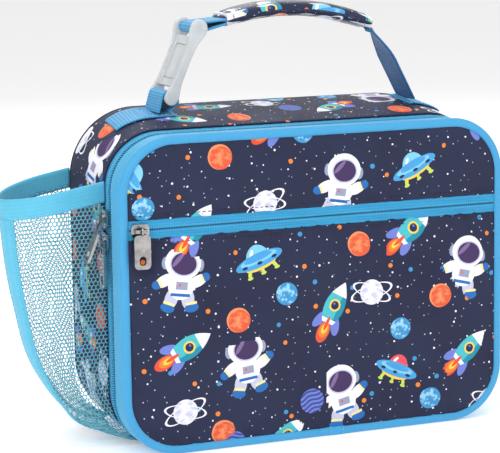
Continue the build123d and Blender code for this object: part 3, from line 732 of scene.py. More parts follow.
def lay_print(piece: Piece, layout: Sequence[Placed]) -> None:
    """Give every face of a printed piece the square of the drawing nearest to it.

    A face's corners take the drawing's own coordinates, turned with it; a face too far from any
    drawing takes an empty corner of the atlas.

    Args:
        piece: a mesh with its "flat" map in millimetres.
        layout: the drawings on that cloth.
    """
    mesh = piece.data
    count = len(mesh.loops)
    flat = np.empty(count * 2, np.float32)
    mesh.uv_layers["flat"].data.foreach_get("uv", flat)
    flat = flat.reshape(-1, 2).astype(float)
    starts = np.empty(len(mesh.polygons), np.int32)
    totals = np.empty(len(mesh.polygons), np.int32)
    mesh.polygons.foreach_get("loop_start", starts)
    mesh.polygons.foreach_get("loop_total", totals)
    owner = np.repeat(np.arange(len(starts)), totals)
    middle = np.add.reduceat(flat, starts) / totals[:, None]
    places = np.array([(p.across, p.up) for p in layout])
    nearest = np.argmin(((middle[:, None] - places[None]) ** 2).sum(axis=2), axis=1)[owner]
    lean = np.radians([p.lean for p in layout])[nearest]
    away = flat - places[nearest]
    local = np.stack(
        [
            away[:, 0] * np.cos(lean) + away[:, 1] * np.sin(lean),
            away[:, 1] * np.cos(lean) - away[:, 0] * np.sin(lean)
        ],
        axis=1,
    )
    over = np.maximum.reduceat(np.abs(local).max(axis=1), starts)[owner] > CELL * 0.48
    kind = np.array([int(p.motif) for p in layout])[nearest]
    atlas = np.stack([kind + 0.5 + local[:, 0] / CELL, 0.5 + local[:, 1] / CELL], axis=1)
    atlas[over] = (-3.0, -3.0)
    layer = mesh.uv_layers.new(name="motif")
    layer.data.foreach_set("uv", atlas.astype(np.float32).ravel())
    mesh.uv_layers.active = mesh.uv_layers["flat"]


def drawings(places: dict[Motif, Sequence[tuple[float, ...]]]) -> list[Placed]:
    """Drawings from the places of each motif: across, up and, where it leans, the lean."""
    return [Placed(motif, *place) for motif, spots in places.items() for place in spots]


FRONT_LAYOUT = drawings({
    Motif.ASTRONAUT: [(-88, 105, -8), (15, 153, -10), (-48, 51, 6), (14, 25, 12), (97, 97, -14)],
    Motif.ROCKET: [(-87, 63, -62), (8, 78, -28), (98, 44, -50), (60, 122, -52), (-79, 133, -38),
        (-24, 193, -58), (-24, 2, -50), (104, 190, 42)],
    Motif.SAUCER: [(-39, 113, 20), (63, 162, 26), (-118, 168, -60)],
    Motif.RED_SAUCER: [(51, 38, -24)],
    Motif.RINGED: [(34, 87, -8), (-87, 26, 6), (-34, 146, 10), (115, 11, -10)],
    Motif.ORANGE: [(-62, 175), (26, 117), (-53, 78), (80, 81, 20), (-63, 11)],
    Motif.STRIPED: [(-6, 24, 20), (-56, 3)],
    Motif.BLUE: [(-110, 148), (-22, 91), (53, 63), (-9, 187, 0), (74, 17)],
})


def repeat_layout(
    width: float, depth: float, seed: int, low: tuple[float, float] = (0.0, 0.0)
) -> list[Placed]:
    """Fill a cloth with drawings on a shifted lattice, each a little off its place.

    Args:
        width, depth: size of the cloth in millimetres.
        seed: for the shifts and leans; low: its lowest corner.

    Returns:
        The drawings.
    """
    order = (
        Motif.ASTRONAUT, Motif.ORANGE, Motif.ROCKET, Motif.RINGED, Motif.SAUCER, Motif.BLUE, Motif.ROCKET,
        Motif.STRIPED, Motif.ASTRONAUT, Motif.ORANGE, Motif.RED_SAUCER,
    )
    chance = np.random.default_rng(seed)
    placed = []
    for row in range(math.ceil(depth / 27.0) + 1):
        for column in range(math.ceil(width / 33.0) + 1):
            shift = chance.uniform(-3.0, 3.0, 2)
            motif = order[(column * 2 + row * 5 + seed) % len(order)]
            lean = float(chance.uniform(-38, 20)) if motif in (
                Motif.ROCKET, Motif.SAUCER
            ) else float(chance.uniform(-20, 20))
            across = low[0] + column * 33.0 + (row % 2) * 16.5 + shift[0]
            placed.append(Placed(motif, across, low[1] + row * 27.0 + shift[1], lean))
    return placed


# ---------------------------------------------------------------- other finishes

class Weave(Enum):
    """How a cloth's threads cross."""

    PLAIN = "plain"
    TWILL = "twill"
    RIBBED = "ribbed"
    KNIT = "knit"


@dataclass(frozen=True)
class WovenFinish:
    """Dyed cloth, tape or webbing, with its weave in colour and in relief."""

    name: str
    colour: Colour
    weave: Weave = Weave.PLAIN
    pitch: float = 1.0
    relief: float = 0.12
    roughness: float = 0.6
    contrast: float = 0.14
    sheen: float = 0.15
    on_cloth: bool = True

    def threads(self, across: Sock, along: Sock) -> Sock:
        """Height of the weave between 0 and 1: products and sums of sines of the thread count."""
        turn = 2 * math.pi / self.pitch
        if self.weave is Weave.TWILL:
            return ((across + along * 0.8) * turn).sin() * 0.4 + (
                (across - along) * (turn * 0.5)
            ).sin() * 0.1 + 0.5
        if self.weave is Weave.RIBBED:
            return (along * turn).sin() * 0.32 + (across * (turn * 0.5)).sin() * 0.16 + 0.5
        if self.weave is Weave.KNIT:
            return ((along * turn).sin() * (across * turn).sin()) * 0.5 + 0.5
        return (along * turn).sin() * (across * turn).sin() * 0.35 + 0.5

    def material(self) -> bpy.types.Material:
        """Build the cloth: threads, broad uneven dye, and paler rubbed threads."""
        shader = Shader(self.name)
        at = shader.cloth() if self.on_cloth else shader.place()
        across, along, third = at.axes()
        height = self.threads(across, along if self.on_cloth else along + third)
        cloud = shader.noise(at, 16.0, 3.0)
        fuzz = shader.noise(at, 1.3, 2.0)
        light = height * self.contrast + cloud * 0.16 + fuzz * 0.12 + (1.0 - self.contrast / 2 - 0.14)
        dyed = shader.mix(1.0, (0.0, 0.0, 0.0), self.colour) * light
        return shader.finish(
            Base_Color=dyed,
            Roughness=cloud * 0.14 + (self.roughness - 0.07),
            Sheen_Weight=self.sheen,
            Sheen_Roughness=0.45,
            Specular_IOR_Level=0.3,
            Normal=shader.bump(height + fuzz * 0.5, self.relief),
        )


@dataclass(frozen=True)
class MetalFinish:
    """Bright nickel plate with fine brushing and slightly dulled patches."""

    name: str = "nickel_plate"
    colour: Colour = srgb(168, 166, 164)
    roughness: float = 0.16

    def material(self) -> bpy.types.Material:
        """Build the plate."""
        shader = Shader(self.name)
        at = shader.place()
        dull = shader.noise(at, 5.0, 4.0)
        brushed = shader.noise(at * (4.0, 4.0, 0.5), 1.0)
        tint = shader.mix(dull.between(0.4, 0.8), self.colour, srgb(128, 126, 126))
        return shader.finish(
            Base_Color=tint,
            Metallic=1.0,
            Roughness=dull * 0.16 + brushed * 0.06 + (self.roughness - 0.08),
            Normal=shader.bump(brushed * 0.3 + dull, 0.02),
        )


@dataclass(frozen=True)
class FrostedFinish:
    """Milky translucent plastic, thick enough to glow a little."""

    name: str = "frosted_plastic"
    colour: Colour = srgb(226, 229, 230)

    def material(self) -> bpy.types.Material:
        """Build the plastic: cloudy body, soft gloss and faint flow marks."""
        shader = Shader(self.name)
        at = shader.place()
        cloud = shader.noise(at, 9.0, 3.0)
        flow = shader.noise(at * (1.0, 1.0, 0.25), 1.6)
        tint = shader.mix(cloud.between(0.3, 0.75), self.colour, srgb(208, 213, 216))
        return shader.finish(
            Base_Color=tint,
            Roughness=cloud * 0.12 + 0.3,
            Transmission_Weight=0.3,
            IOR=1.46,
            Subsurface_Weight=0.25,
            Subsurface_Radius=(0.006, 0.006, 0.007),
            Subsurface_Scale=1.0,
            Normal=shader.bump(flow, 0.03),
        )


@dataclass(frozen=True)
class FilmFinish:
    """Silver-grey wipe-clean lining film, creased by the foam behind it."""

    name: str = "silver_lining"
    colour: Colour = srgb(196, 198, 202)
    on_cloth: bool = True

    def material(self) -> bpy.types.Material:
        """Build the film: a faint embossed grid, soft creases and an uneven gloss."""
        shader = Shader(self.name)
        at = shader.cloth() if self.on_cloth else shader.place()
        crease = shader.noise(at, 26.0, 4.0, 0.55)
        across, along, _ = at.axes()
        grain = (across * 2.4).sin() * (along * 2.4).sin()
        tint = shader.mix(crease.between(0.35, 0.7), self.colour, srgb(176, 179, 185))
        return shader.finish(
            Base_Color=tint,
            Metallic=0.35,
            Roughness=crease * 0.2 + 0.3,
            Coat_Weight=0.15,
            Coat_Roughness=0.3,
            Normal=shader.bump(crease * 6.0 + grain * 0.2, 0.22),
        )


@dataclass(frozen=True)
class FoamFinish:
    """White closed-cell foam with a fine open grain."""

    name: str = "white_foam"

    def material(self) -> bpy.types.Material:
        """Build the foam: small cells in colour and relief."""
        shader = Shader(self.name)
        at = shader.place()
        cells = shader.node("ShaderNodeTexVoronoi", {}, {"Vector": at, "Scale": 1.4})
        grain = Sock(shader, cells.outputs["Distance"])
        tint = shader.mix(grain.between(0.1, 0.8), srgb(206, 206, 204), srgb(238, 238, 236))
        return shader.finish(
            Base_Color=tint, Roughness=shader.noise(at, 8.0) * 0.1 + 0.8, Normal=shader.bump(grain, 0.2)
        )


@dataclass(frozen=True)
class FloorFinish:
    """Plain pale studio floor."""

    name: str = "studio_floor"

    def material(self) -> bpy.types.Material:
        """Build the floor."""
        shader = Shader(self.name)
        cloud = shader.noise(shader.place(), 400.0)
        tint = shader.mix(cloud, srgb(244, 244, 245), srgb(248, 248, 248))
        return shader.finish(
            Base_Color=tint, Roughness=0.75, Specular_IOR_Level=0.1, Emission_Color=(
                1.0, 1.0, 1.0
            ), Emission_Strength=0.3
        )


class Cloths:
    """Every finish of the bag, built once."""

    def __init__(self) -> None:
        """Build the materials."""
        blue = srgb(66, 168, 214)
        self.printed = PrintFinish().material()
        self.satin_print = PrintFinish("satin_space_print", roughness=0.42, sheen=0.25).material()
        self.printed_plain = WovenFinish(
            "navy_fold", INK["ground"], Weave.PLAIN, 0.85, 0.05, 0.62, 0.1
        ).material()
        self.piping = WovenFinish(
            "piping_ribbon", srgb(66, 158, 208), Weave.KNIT, 1.1, 0.06, 0.55
        ).material()
        self.boxing = WovenFinish(
            "boxing_twill", srgb(56, 166, 212), Weave.TWILL, 1.4, 0.12, 0.55, 0.26
        ).material()
        self.tape = WovenFinish(
            "zip_tape", srgb(46, 150, 198), Weave.TWILL, 1.2, 0.08, 0.6, 0.24
        ).material()
        self.coil = WovenFinish(
            "zip_coil", srgb(74, 172, 214), Weave.PLAIN, 0.9, 0.02, 0.3, 0.08, 0.0
        ).material()
        self.rim = WovenFinish(
            "rim_ribbon", srgb(92, 184, 214), Weave.RIBBED, 1.2, 0.08, 0.55, 0.16
        ).material()
        self.net = WovenFinish(
            "pocket_net", srgb(104, 178, 196), Weave.PLAIN, 1.0, 0.02, 0.5, 0.1
        ).material()
        self.webbing = WovenFinish(
            "webbing", srgb(62, 150, 198), Weave.RIBBED, 1.7, 0.35, 0.55, 0.55
        ).material()
        # a darker copy of the webbing: painted shade for the strap whose face is turned from the light
        self.shaded_webbing = WovenFinish(
            "shaded_webbing", srgb(34, 98, 152), Weave.RIBBED, 1.7, 0.3, 0.6, 0.4
        ).material()
        self.thread = WovenFinish(
            "blue_thread", srgb(120, 196, 228), Weave.PLAIN, 0.5, 0.02, 0.5, 0.1
        ).material()
        self.dark_thread = WovenFinish(
            "navy_thread", srgb(30, 34, 58), Weave.PLAIN, 0.5, 0.02, 0.5, 0.1
        ).material()
        self.binding = WovenFinish(
            "inner_binding", srgb(44, 62, 92), Weave.RIBBED, 1.2, 0.1, 0.6, 0.2
        ).material()
        self.cord = WovenFinish(
            "piping_core", srgb(232, 232, 228), Weave.TWILL, 1.5, 0.2, 0.7, 0.2, on_cloth=False
        ).material()
        self.core = WovenFinish(
            "grip_webbing", blue, Weave.RIBBED, 1.7, 0.2, 0.6, 0.3, on_cloth=False
        ).material()
        self.nickel = MetalFinish().material()
        self.frosted = FrostedFinish().material()
        self.lining = FilmFinish().material()
        self.foam = FoamFinish().material()


def dress(piece: Piece, material: bpy.types.Material) -> None:
    """Put a material on a whole piece."""
    piece.data.materials.clear()
    piece.data.materials.append(material)


# ---------------------------------------------------------------- the bag's form

@dataclass(frozen=True)
class BagForm:
    """The bag's outer form: rounded rectangles that grow towards the back and roll over there.

    A place on it is s, millimetres round the mouth's outline from the middle of the base and up its
    right side, and y, its depth.
    """

    half: float = 123.0
    height: float = 188.0
    corner: float = 33.0
    rise: float = 9.0
    spread: float = 1.0
    front: float = -52.0
    back: float = 52.0
    level_from: float = -31.0
    shoulder: float = 36.0
    back_inset: float = 9.0

    def outline(self, y: Array) -> tuple[Array, Array, Array, Array]:
        """Half width, base, top and corner radius at each depth.

        The walls rise evenly to the shoulder; behind it they roll in by a quarter ellipse.
        """
        share = np.clip((y - self.level_from) / (self.shoulder - self.level_from), 0, 1)
        turn = np.clip((y - self.shoulder) / (self.back - self.shoulder), 0, 1)
        roll = self.back_inset * (1 - np.sqrt(1 - turn**2))
        return (
            self.half + self.spread * share - roll,
            roll,
            self.height + self.rise * share - roll,
            self.corner + self.rise * share - roll,
        )

    @property
    def corners_at(self) -> Array:
        """Distance s of the nine joins between straights and corners, and of the end."""
        level, upright = self.half - self.corner, self.height - 2 * self.corner
        bend = self.corner * math.pi / 2
        return np.concatenate(
            [[0], np.cumsum([level, bend, upright, bend, 2 * level, bend, upright, bend, level])]
        )

    def ring(
        self, s: Array, outline: tuple[Array, Array, Array, Array], inset: float | Array = 0.0
    ) -> tuple[Array, ...]:
        """Points and outward directions round an outline.

        The corner's centre moves along each straight and waits at each corner while the angle turns.

        Args:
            s: distances round the mouth; outline: half width, base, top and radius; inset: how far in.

        Returns:
            x, z and the outward direction's x and z.
        """
        half, base, top, radius = outline
        join = np.interp(s, self.corners_at, np.arange(10))
        angle = np.radians(np.interp(join, np.arange(10), [-90, -90, 0, 0, 90, 90, 180, 180, 270, 270]))
        side = np.interp(join, np.arange(10), [0, 1, 1, 1, 1, -1, -1, -1, -1, 0])
        up = np.interp(join, np.arange(10), [0, 0, 0, 1, 1, 1, 1, 0, 0, 0])
        nx, nz = np.cos(angle), np.sin(angle)
        x = (half - radius) * side + (radius - inset) * nx
        z = base + radius + (top - base - 2 * radius) * up + (radius - inset) * nz
        return x, z, nx, nz

    def swell(self, s: Array, y: Array) -> Array:
        """How far the stuffed print stands proud: a low crown between its seams, with soft wrinkles.

        Sums of slow sines along s, faded at the front seam and at the back roll and along the base.
        """
        depth = np.clip((y + 20.8) / 64.8, 0, 1)
        crown = np.sin(np.pi * depth) ** 0.7
        ends = np.clip((s - self.corners_at[1]) / 40, 0, 1) * np.clip((self.corners_at[8] - s) / 40, 0, 1)
        wave = 0.55 * np.sin(s / 14.0 + 2.0 * np.sin(y / 17.0)) + 0.35 * np.sin(s / 6.3 + y / 9.0)
        seam = np.exp(-((y + 20.8) / 5.0) ** 2) * 0.35 * np.sin(s / 2.1)
        return ends * (1.5 * crown + 0.55 * crown * wave + np.abs(seam))

    def surface(self, s: Array, y: Array, lift: float | Array = 0.0, swollen: bool = False) -> Array:
        """Points of the outer form, lifted along their outward direction.

        Args:
            s, y: places, broadcast together; lift: outwards, or a negative inset; swollen: add the crown.

        Returns:
            Points with a last axis of x, y, z.
        """
        s, y = np.broadcast_arrays(np.asarray(s, float), np.asarray(y, float))
        rise = lift + (self.swell(s, y) if swollen else 0.0)
        x, z, _, _ = self.ring(s, self.outline(y), -rise)
        return np.stack([x, y, z], axis=-1)

    def frames(self, s: Array, y: float, lift: float) -> tuple[Array, Array, Array]:
        """Points along the outline at one depth, with the direction of travel and the outward one."""
        level = np.full_like(s, y)
        x, z, nx, nz = self.ring(s, self.outline(level), -lift)
        zero = np.zeros_like(s)
        return np.stack([x, level, z], 1), np.stack([-nz, zero, nx], 1), np.stack([nx, zero, nz], 1)


FORM = BagForm()
MIDDLE = (0.0, 0.0, 94.0)
PRINT_THICKNESS = 0.8
FILM_THICKNESS = 0.3
FORM_SKIN = 0.9                 # thickness of the sewn fabric, under which the tapes lie


def dashes_on_bag(
    name: str, s: tuple[float, float], y: float, lift: float,
    length: float = 2.4, gap: float = 1.1, width: float = 0.55,
) -> Piece:
    """A row of stitches round the bag at one depth."""
    spots = np.arange(s[0] + length / 2, s[1], length + gap)
    origin, run, rise = FORM.frames(spots, y, lift)
    points, faces = capsule(length, width, 0.4)
    return scattered(name, points, faces, origin, run, rise, np.stack([spots, np.full_like(spots, y)], 1))


def dashes_along(
    name: str, line: Array, rise: Array,
    length: float = 2.4, gap: float = 1.1, width: float = 0.55, height: float = 0.45,
) -> Piece:
    """A row of stitches along a line of points.

    Args:
        name: the piece's name; line: (n, 3) points.
        rise: the direction in which they stand, one or per point.
        length, gap, width, height: of each stitch.

    Returns:
        The stitches.
    """
    far = run_lengths(line)
    spots = np.arange(length / 2, far[-1] - length / 2 + 1e-6, length + gap)
    origin = on_line(spots, far, line)
    run = unit(on_line(spots + 0.3, far, line) - on_line(spots - 0.3, far, line))
    up = square_to(run, on_line(spots, far, np.broadcast_to(np.asarray(rise, float), line.shape)))
    points, faces = capsule(length, width, height)
    return scattered(name, points, faces, origin, run, up, np.stack([spots, spots * 0], 1))


def inflate(
    piece: Piece, held: Array, pressure: float = 4.0, slack: float = 0.02, cap: float = 3.0
) -> None:
    """Let a printed sheet swell over its padding by cloth simulation, and keep the result.

    The sheet is given a little spare cloth and pressed from behind, with gravity off, and no point
    ends further than the cap from where it began.

    Args:
        piece: the sheet; held: which of its points are sewn down; pressure: from behind.
        slack: spare cloth as a share of its length; cap: most movement, in millimetres.
    """
    mesh = piece.data
    start = np.empty(len(mesh.vertices) * 3, np.float32)
    mesh.vertices.foreach_get("co", start)
    piece.vertex_groups.new(name="held").add(np.flatnonzero(held).tolist(), 1.0, "REPLACE")
    cloth = piece.modifiers.new("Cloth", "CLOTH")
    cloth.settings.quality = 6
    cloth.settings.mass = 0.3
    cloth.settings.tension_stiffness = 20.0
    cloth.settings.compression_stiffness = 20.0
    cloth.settings.bending_stiffness = 0.6
    cloth.settings.vertex_group_mass = "held"
    cloth.settings.shrink_min = -slack
    cloth.settings.use_pressure = True
    cloth.settings.uniform_pressure_force = pressure
    cloth.settings.effector_weights.gravity = 0.0
    cloth.collision_settings.use_collision = False
    cloth.point_cache.frame_end = 20
    for moment in range(1, 21):
        bpy.context.scene.frame_set(moment)
    settled = piece.evaluated_get(bpy.context.evaluated_depsgraph_get())
    end = np.empty_like(start)
    settled.data.vertices.foreach_get("co", end)
    piece.modifiers.remove(cloth)
    bpy.context.scene.frame_set(1)
    moved = (end - start).reshape(-1, 3)
    far = np.linalg.norm(moved, axis=1, keepdims=True)
    limit = cap * MM
    moved *= limit * np.tanh(far / limit) / np.maximum(far, 1e-9)
    mesh.vertices.foreach_set("co", (start.reshape(-1, 3) + moved).ravel())
    mesh.update()
    log.info("%s settled by up to %.1f mm", piece.name, float(far.max()) / MM)


@dataclass
class SubAssembly:
    """A group of pieces that is built and dressed together, and the body they ride on."""

    cloths: Cloths
    body: str = "shell"
    pieces: list[Piece] = field(default_factory=list)

    def place(self, piece: Piece, material: bpy.types.Material, slot: str, *replaced: str) -> Piece:
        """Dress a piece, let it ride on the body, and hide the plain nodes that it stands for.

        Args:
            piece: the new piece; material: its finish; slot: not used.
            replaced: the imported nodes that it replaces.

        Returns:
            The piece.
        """
        dress(piece, material)
        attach(piece, self.body)
        if replaced:
            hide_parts(*replaced)
        self.pieces.append(piece)
        log.info("%s: %d points on %s", piece.name, len(piece.data.vertices), self.body)
        return piece

    def printed_sheet(
        self, name: str, grid: Array, flat: Array, layout: Sequence[Placed], node: str, closed: bool = False
    ) -> Piece:
        """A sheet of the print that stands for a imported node.

        Args:
            name: the piece's name; grid, flat: its points and their places on the cloth.
            layout: its drawings; node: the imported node; closed: whether the last column meets the first.

        Returns:
            The sheet.
        """
        piece = sheet_object(name, grid, flat, MIDDLE, wrap_cols=closed)
        lay_print(piece, layout)
        thicken(piece, PRINT_THICKNESS)
        return self.place(piece, self.cloths.printed, "print_fabric", node)

    def film(self, piece: Piece, *replaced: str) -> None:
        """Make a sheet a piece of the lining."""
        thicken(piece, FILM_THICKNESS)
        self.place(piece, self.cloths.lining, "liner", *replaced)

    def sew(self, row: Piece, slot: str) -> None:
        """Place a row of stitches: navy thread on the print, pale blue elsewhere."""
        self.place(row, self.cloths.dark_thread if slot == "print_fabric" else self.cloths.thread, slot)

    def half_zip(
        self, side: str, y: Array, teeth_y: float, towards: int, shift: float, thread_y: float
    ) -> None:
        """One half of the main zip: its tape, its teeth and a row of thread on the tape.

        Args:
            side: body or lid; y: depths of the tape's rows; teeth_y, thread_y: of the teeth and thread.
            towards: +1 if the other half is at larger y; shift: start of the teeth as a share of the pitch.
        """
        tape = loop_sheet(f"{side}_zip_tape_cloth", (FORM.corners_at[1], FORM.corners_at[8]), y, -FORM_SKIN)
        thicken(tape, MAIN_ZIP.tape)
        self.place(tape, self.cloths.tape, "zip_tape", f"{side}_zip_tape")
        teeth = coil_teeth(f"{side}_zip_teeth", teeth_y, towards, shift)
        self.place(teeth, self.cloths.coil, "zip_coil", f"{side}_zip_coil")
        span = MAIN_ZIP.span(MAIN_ZIP.stop)
        self.sew(dashes_on_bag(f"{side}_zip_tape_thread", span, thread_y, -0.8, 1.6, 0.7, 0.4), "zip_tape")

    def carry_over(self, material: bpy.types.Material, *nodes: str) -> None:
        """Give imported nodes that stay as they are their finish."""
        for node in nodes:
            dress(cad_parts[node], material)
            log.info("%s: packed node kept", node)


# ---------------------------------------------------------------- zips

@dataclass(frozen=True)
class ZipForm:
    """Sizes of the main zip, which runs round the bag at one depth."""

    centre: float = -29.0
    gap: float = 1.6
    coil: float = 1.7
    pitch: float = 1.45
    stop: float = 10.0          # height above the ground where its coils end
    tape: float = 0.6

    def span(self, lowest: float) -> tuple[float, float]:
        """Distances s between which the outline is higher than a height."""
        angle = math.acos(1 - lowest / FORM.corner)
        first = FORM.corners_at[1] + FORM.corner * angle
        return first, FORM.corners_at[9] - first


MAIN_ZIP = ZipForm()


def coil_teeth(name: str, y: float, towards: int, shift: float) -> Piece:
    """One row of the main zip's teeth, each an arched bar across the tape.

    Args:
        name: the piece's name; y: the middle of the coil; towards: +1 if the other row is at larger y.
        shift: start of the row as a share of the pitch.

    Returns:
        The row.
    """
    first, last = MAIN_ZIP.span(MAIN_ZIP.stop)
    spots = np.arange(first + (shift + 0.5) * MAIN_ZIP.pitch, last, MAIN_ZIP.pitch)
    across = np.array([-1.05, -0.85, -0.2, 0.7, 1.2, 1.3])
    rise = np.array([0.0, 0.75, 1.12, 1.12, 0.7, 0.1])
    size = np.array([0.3, 0.4, 0.44, 0.52, 0.5, 0.3])
    turn = np.linspace(0, 2 * np.pi, 5, endpoint=False)
    points = np.stack(
        [
            size[:, None] * np.cos(turn)[None] + 0.18 * across[:, None],
            (across[:, None] + 0.0 * turn[None]) * towards,
            rise[:, None] + size[:, None] * np.sin(turn)[None] * 0.8,
        ],
        axis=-1,
    ).reshape(-1, 3)
    faces = grid_faces(6, 5, wrap_cols=True)
    faces = turned_outwards(points, faces, points.mean(axis=0))
    origin, run, up = FORM.frames(spots, y, -FORM_SKIN)
    return scattered(
        name, points * (1, -1, 1), faces[:, ::-1], origin, run, up, np.stack([spots, spots * 0], 1)
    )


def loop_sheet(
    name: str, s: tuple[float, float], y: Array, lift: Array | float, step: float = 2.0
) -> Piece:
    """A sheet of even lift round part of the bag's outline.

    Args:
        name: the piece's name; s: its two ends; y: depths of its rows; lift: of each row, outwards.
        step: spacing along the outline.

    Returns:
        The sheet, facing outwards.
    """
    along = np.linspace(*s, max(2, round((s[1] - s[0]) / step)))
    lifts = np.broadcast_to(np.asarray(lift, float), y.shape)[:, None]
    grid = FORM.surface(along[None], y[:, None], lifts)
    flat = paired(y[:, None], along[None])
    return sheet_object(name, grid, flat, MIDDLE)


# ---------------------------------------------------------------- the lid

@dataclass
class Lid(SubAssembly):
    """The opening front: printed panels, flat zipped pocket, piping, blue sides and lining tray."""

    body: str = "lid"
    panel_front: float = -52.8
    window_half: float = 119.2
    window_base: float = 5.2
    window_top: float = 184.2
    window_corner: float = 29.2
    piping_y: float = -51.0
    piping_half: float = 121.5
    piping_base: float = 2.9
    piping_top: float = 186.5
    piping_corner: float = 31.5
    piping_radius: float = 2.9
    piping_join: float = 11.0           # where the piping's ends meet, along the base
    zip_height: float = 135.5
    zip_band: float = 11.4
    crown: float = 1.9
    boxing_width: float = 16.0
    tape_front: float = -36.0
    tape_back: float = -29.8
    bottom_gap: float = 90.3
    board_back: float = -45.7
    rim_back: float = -34.5
    rim_inner: float = 4.9

    def build(self) -> None:
        """Build every piece of the lid."""
        low, high = self.zip_height - self.zip_band / 2, self.zip_height + self.zip_band / 2
        self.panel("front_pocket_panel_cloth", self.window_base, low, "front_pocket_panel")
        self.panel("upper_panel_cloth", high, self.window_top, "lid_upper_panel")
        self.piping()
        self.boxing()
        self.pocket_zip()
        self.main_zip_half()
        self.tray()
        self.carry_over(self.cloths.foam, "lid_foam", "lid_rim_foam")
        self.carry_over(self.cloths.lining, "pocket_lining")
        self.carry_over(self.cloths.cord, "piping_cord")

    def half_width(self, z: Array) -> Array:
        """Half width of the window inside the piping at each height."""
        low = np.clip(self.window_base + self.window_corner - z, 0, self.window_corner)
        high = np.clip(z - self.window_top + self.window_corner, 0, self.window_corner)
        dip = np.maximum(low, high)
        return self.window_half - self.window_corner + np.sqrt(self.window_corner**2 - dip**2)

    def heights(self, low: float, high: float, step: float = 1.7) -> Array:
        """Row heights between two limits, closer together in the window's corners.

        In a corner they are r (1 - cos a) from its edge, with a going up evenly.
        """
        turn = self.window_corner * (1 - np.cos(np.linspace(0, np.pi / 2, 22)))
        rows = np.concatenate([self.window_base + turn, self.window_top - turn])
        level = np.arange(self.window_base + self.window_corner, self.window_top - self.window_corner, step)
        rows = np.concatenate([rows, level, [low, high]])
        rows = np.unique(np.round(rows[(rows >= low) & (rows <= high)], 2))
        return rows[np.concatenate([[True], np.diff(rows) > 0.12])]

    def face_depth(self, x: Array, z: Array, low: float, high: float) -> Array:
        """How far the padded face stands forward at a place.

        A level crown 1 - exp(-d / 12) of the distance d to the seams, slow waves, and puckers
        along the seams that fade over 6 mm.
        """
        middle = (self.window_base + self.window_top) / 2
        reach = self.window_corner
        qx = np.abs(x) - (self.window_half - reach)
        qz = np.abs(z - middle) - (self.window_top - middle - reach)
        edge = reach - np.hypot(np.maximum(qx, 0), np.maximum(qz, 0)) - np.minimum(np.maximum(qx, qz), 0)
        seam = np.minimum(
            z - low if low > self.window_base else np.inf, high - z if high < self.window_top else np.inf
        )
        near = np.clip(np.minimum(edge, seam), 0, None)
        rise = 1 - np.exp(-near / 12)
        wave = np.sin(x / 21 + 1.3 * np.sin(z / 27)) * np.sin(z / 17 - x / 49)
        pucker = np.exp(-near / 6) * (1 - np.exp(-near / 1.2)) * np.sin(
            (x + 0.8 * z) / 1.9 + 1.6 * np.sin(x / 15)
        )
        return rise * (self.crown + 0.45 * wave) + 0.4 * pucker

    def panel(self, name: str, low: float, high: float, node: str) -> None:
        """Make one printed panel between two heights; x is u times the window's half width."""
        z = self.heights(low, high)[:, None]
        u = np.linspace(-1, 1, 141)[None]
        x = u * self.half_width(z)
        z = np.broadcast_to(z, x.shape)
        y = self.panel_front - self.face_depth(x, z, low, high)
        grid, flat = np.stack([x, y, z], -1), np.stack([x, z], -1)
        piece = sheet_object(name, grid, flat, MIDDLE)
        edge = np.zeros(x.shape, bool)
        edge[[0, -1]] = edge[:, [0, -1]] = True
        inflate(piece, edge.ravel(), pressure=1.2, slack=0.012, cap=1.4)
        lay_print(piece, FRONT_LAYOUT)
        thicken(piece, 0.7)
        self.place(piece, self.cloths.printed, "print_fabric", node)
        width, height = 2 * self.window_half, high - low
        area = width * height - (2 - math.pi / 2) * self.window_corner**2

    def piping_rings(self, radius: float, s: Array) -> Array:
        """Rings of the piping's round section along its rounded rectangle."""
        form = BagForm(half=self.piping_half, height=self.piping_top, corner=self.piping_corner)
        outline = (self.piping_half, self.piping_base, self.piping_top, self.piping_corner)
        scale = form.corners_at[9]
        x, z, nx, nz = form.ring(s * scale, outline)
        turn = np.linspace(0, 2 * np.pi, 20, endpoint=False)[None]
        bulge = radius + 0.35 * np.exp(
            -(((x - self.piping_join) ** 2 + (z - self.piping_base) ** 2) / 30.0)
        )
        bulge = bulge[:, None] * (1 + 0.012 * np.sin(s * scale / 3.7)[:, None] * np.sin(turn * 2))
        return np.stack(
            [
                x[:, None] + nx[:, None] * bulge * np.cos(turn),
                self.piping_y + bulge * np.sin(turn) + 0 * x[:, None],
                z[:, None] + nz[:, None] * bulge * np.cos(turn),
            ],
            axis=-1,
        )

    def piping(self) -> None:
        """The covered cord round the lid, a little thicker where its cover's ends are joined."""
        s = np.linspace(0, 1, 420, endpoint=False)
        rings = self.piping_rings(self.piping_radius, s)
        flat = paired(np.arange(20)[None] * 1.1, s[:, None] * 800)
        piece = tube_object("piping_cover_cloth", rings, flat, closed=True)
        self.place(piece, self.cloths.piping, "blue_fabric", "piping_cover")
        join = np.linspace(self.piping_join - 5, self.piping_join + 5, 9)
        ring = np.linspace(-2.6, 0.6, 24)
        for side in (-1, 1):
            line = np.stack(
                [
                    np.full(24, join[4] + side * 4.0),
                    self.piping_y + 3.9 * np.sin(ring),
                    self.piping_base - 3.9 * np.cos(ring) * 0.92,
                ],
                axis=1,
            )
            rise = np.stack([np.zeros(24), np.sin(ring), -np.cos(ring)], 1)
            thread = dashes_along(
                f"piping_join_thread_{'left' if side < 0 else 'right'}", line, rise, 1.6, 0.7, 0.35, 0.3
            )
            self.sew(thread, "blue_fabric")

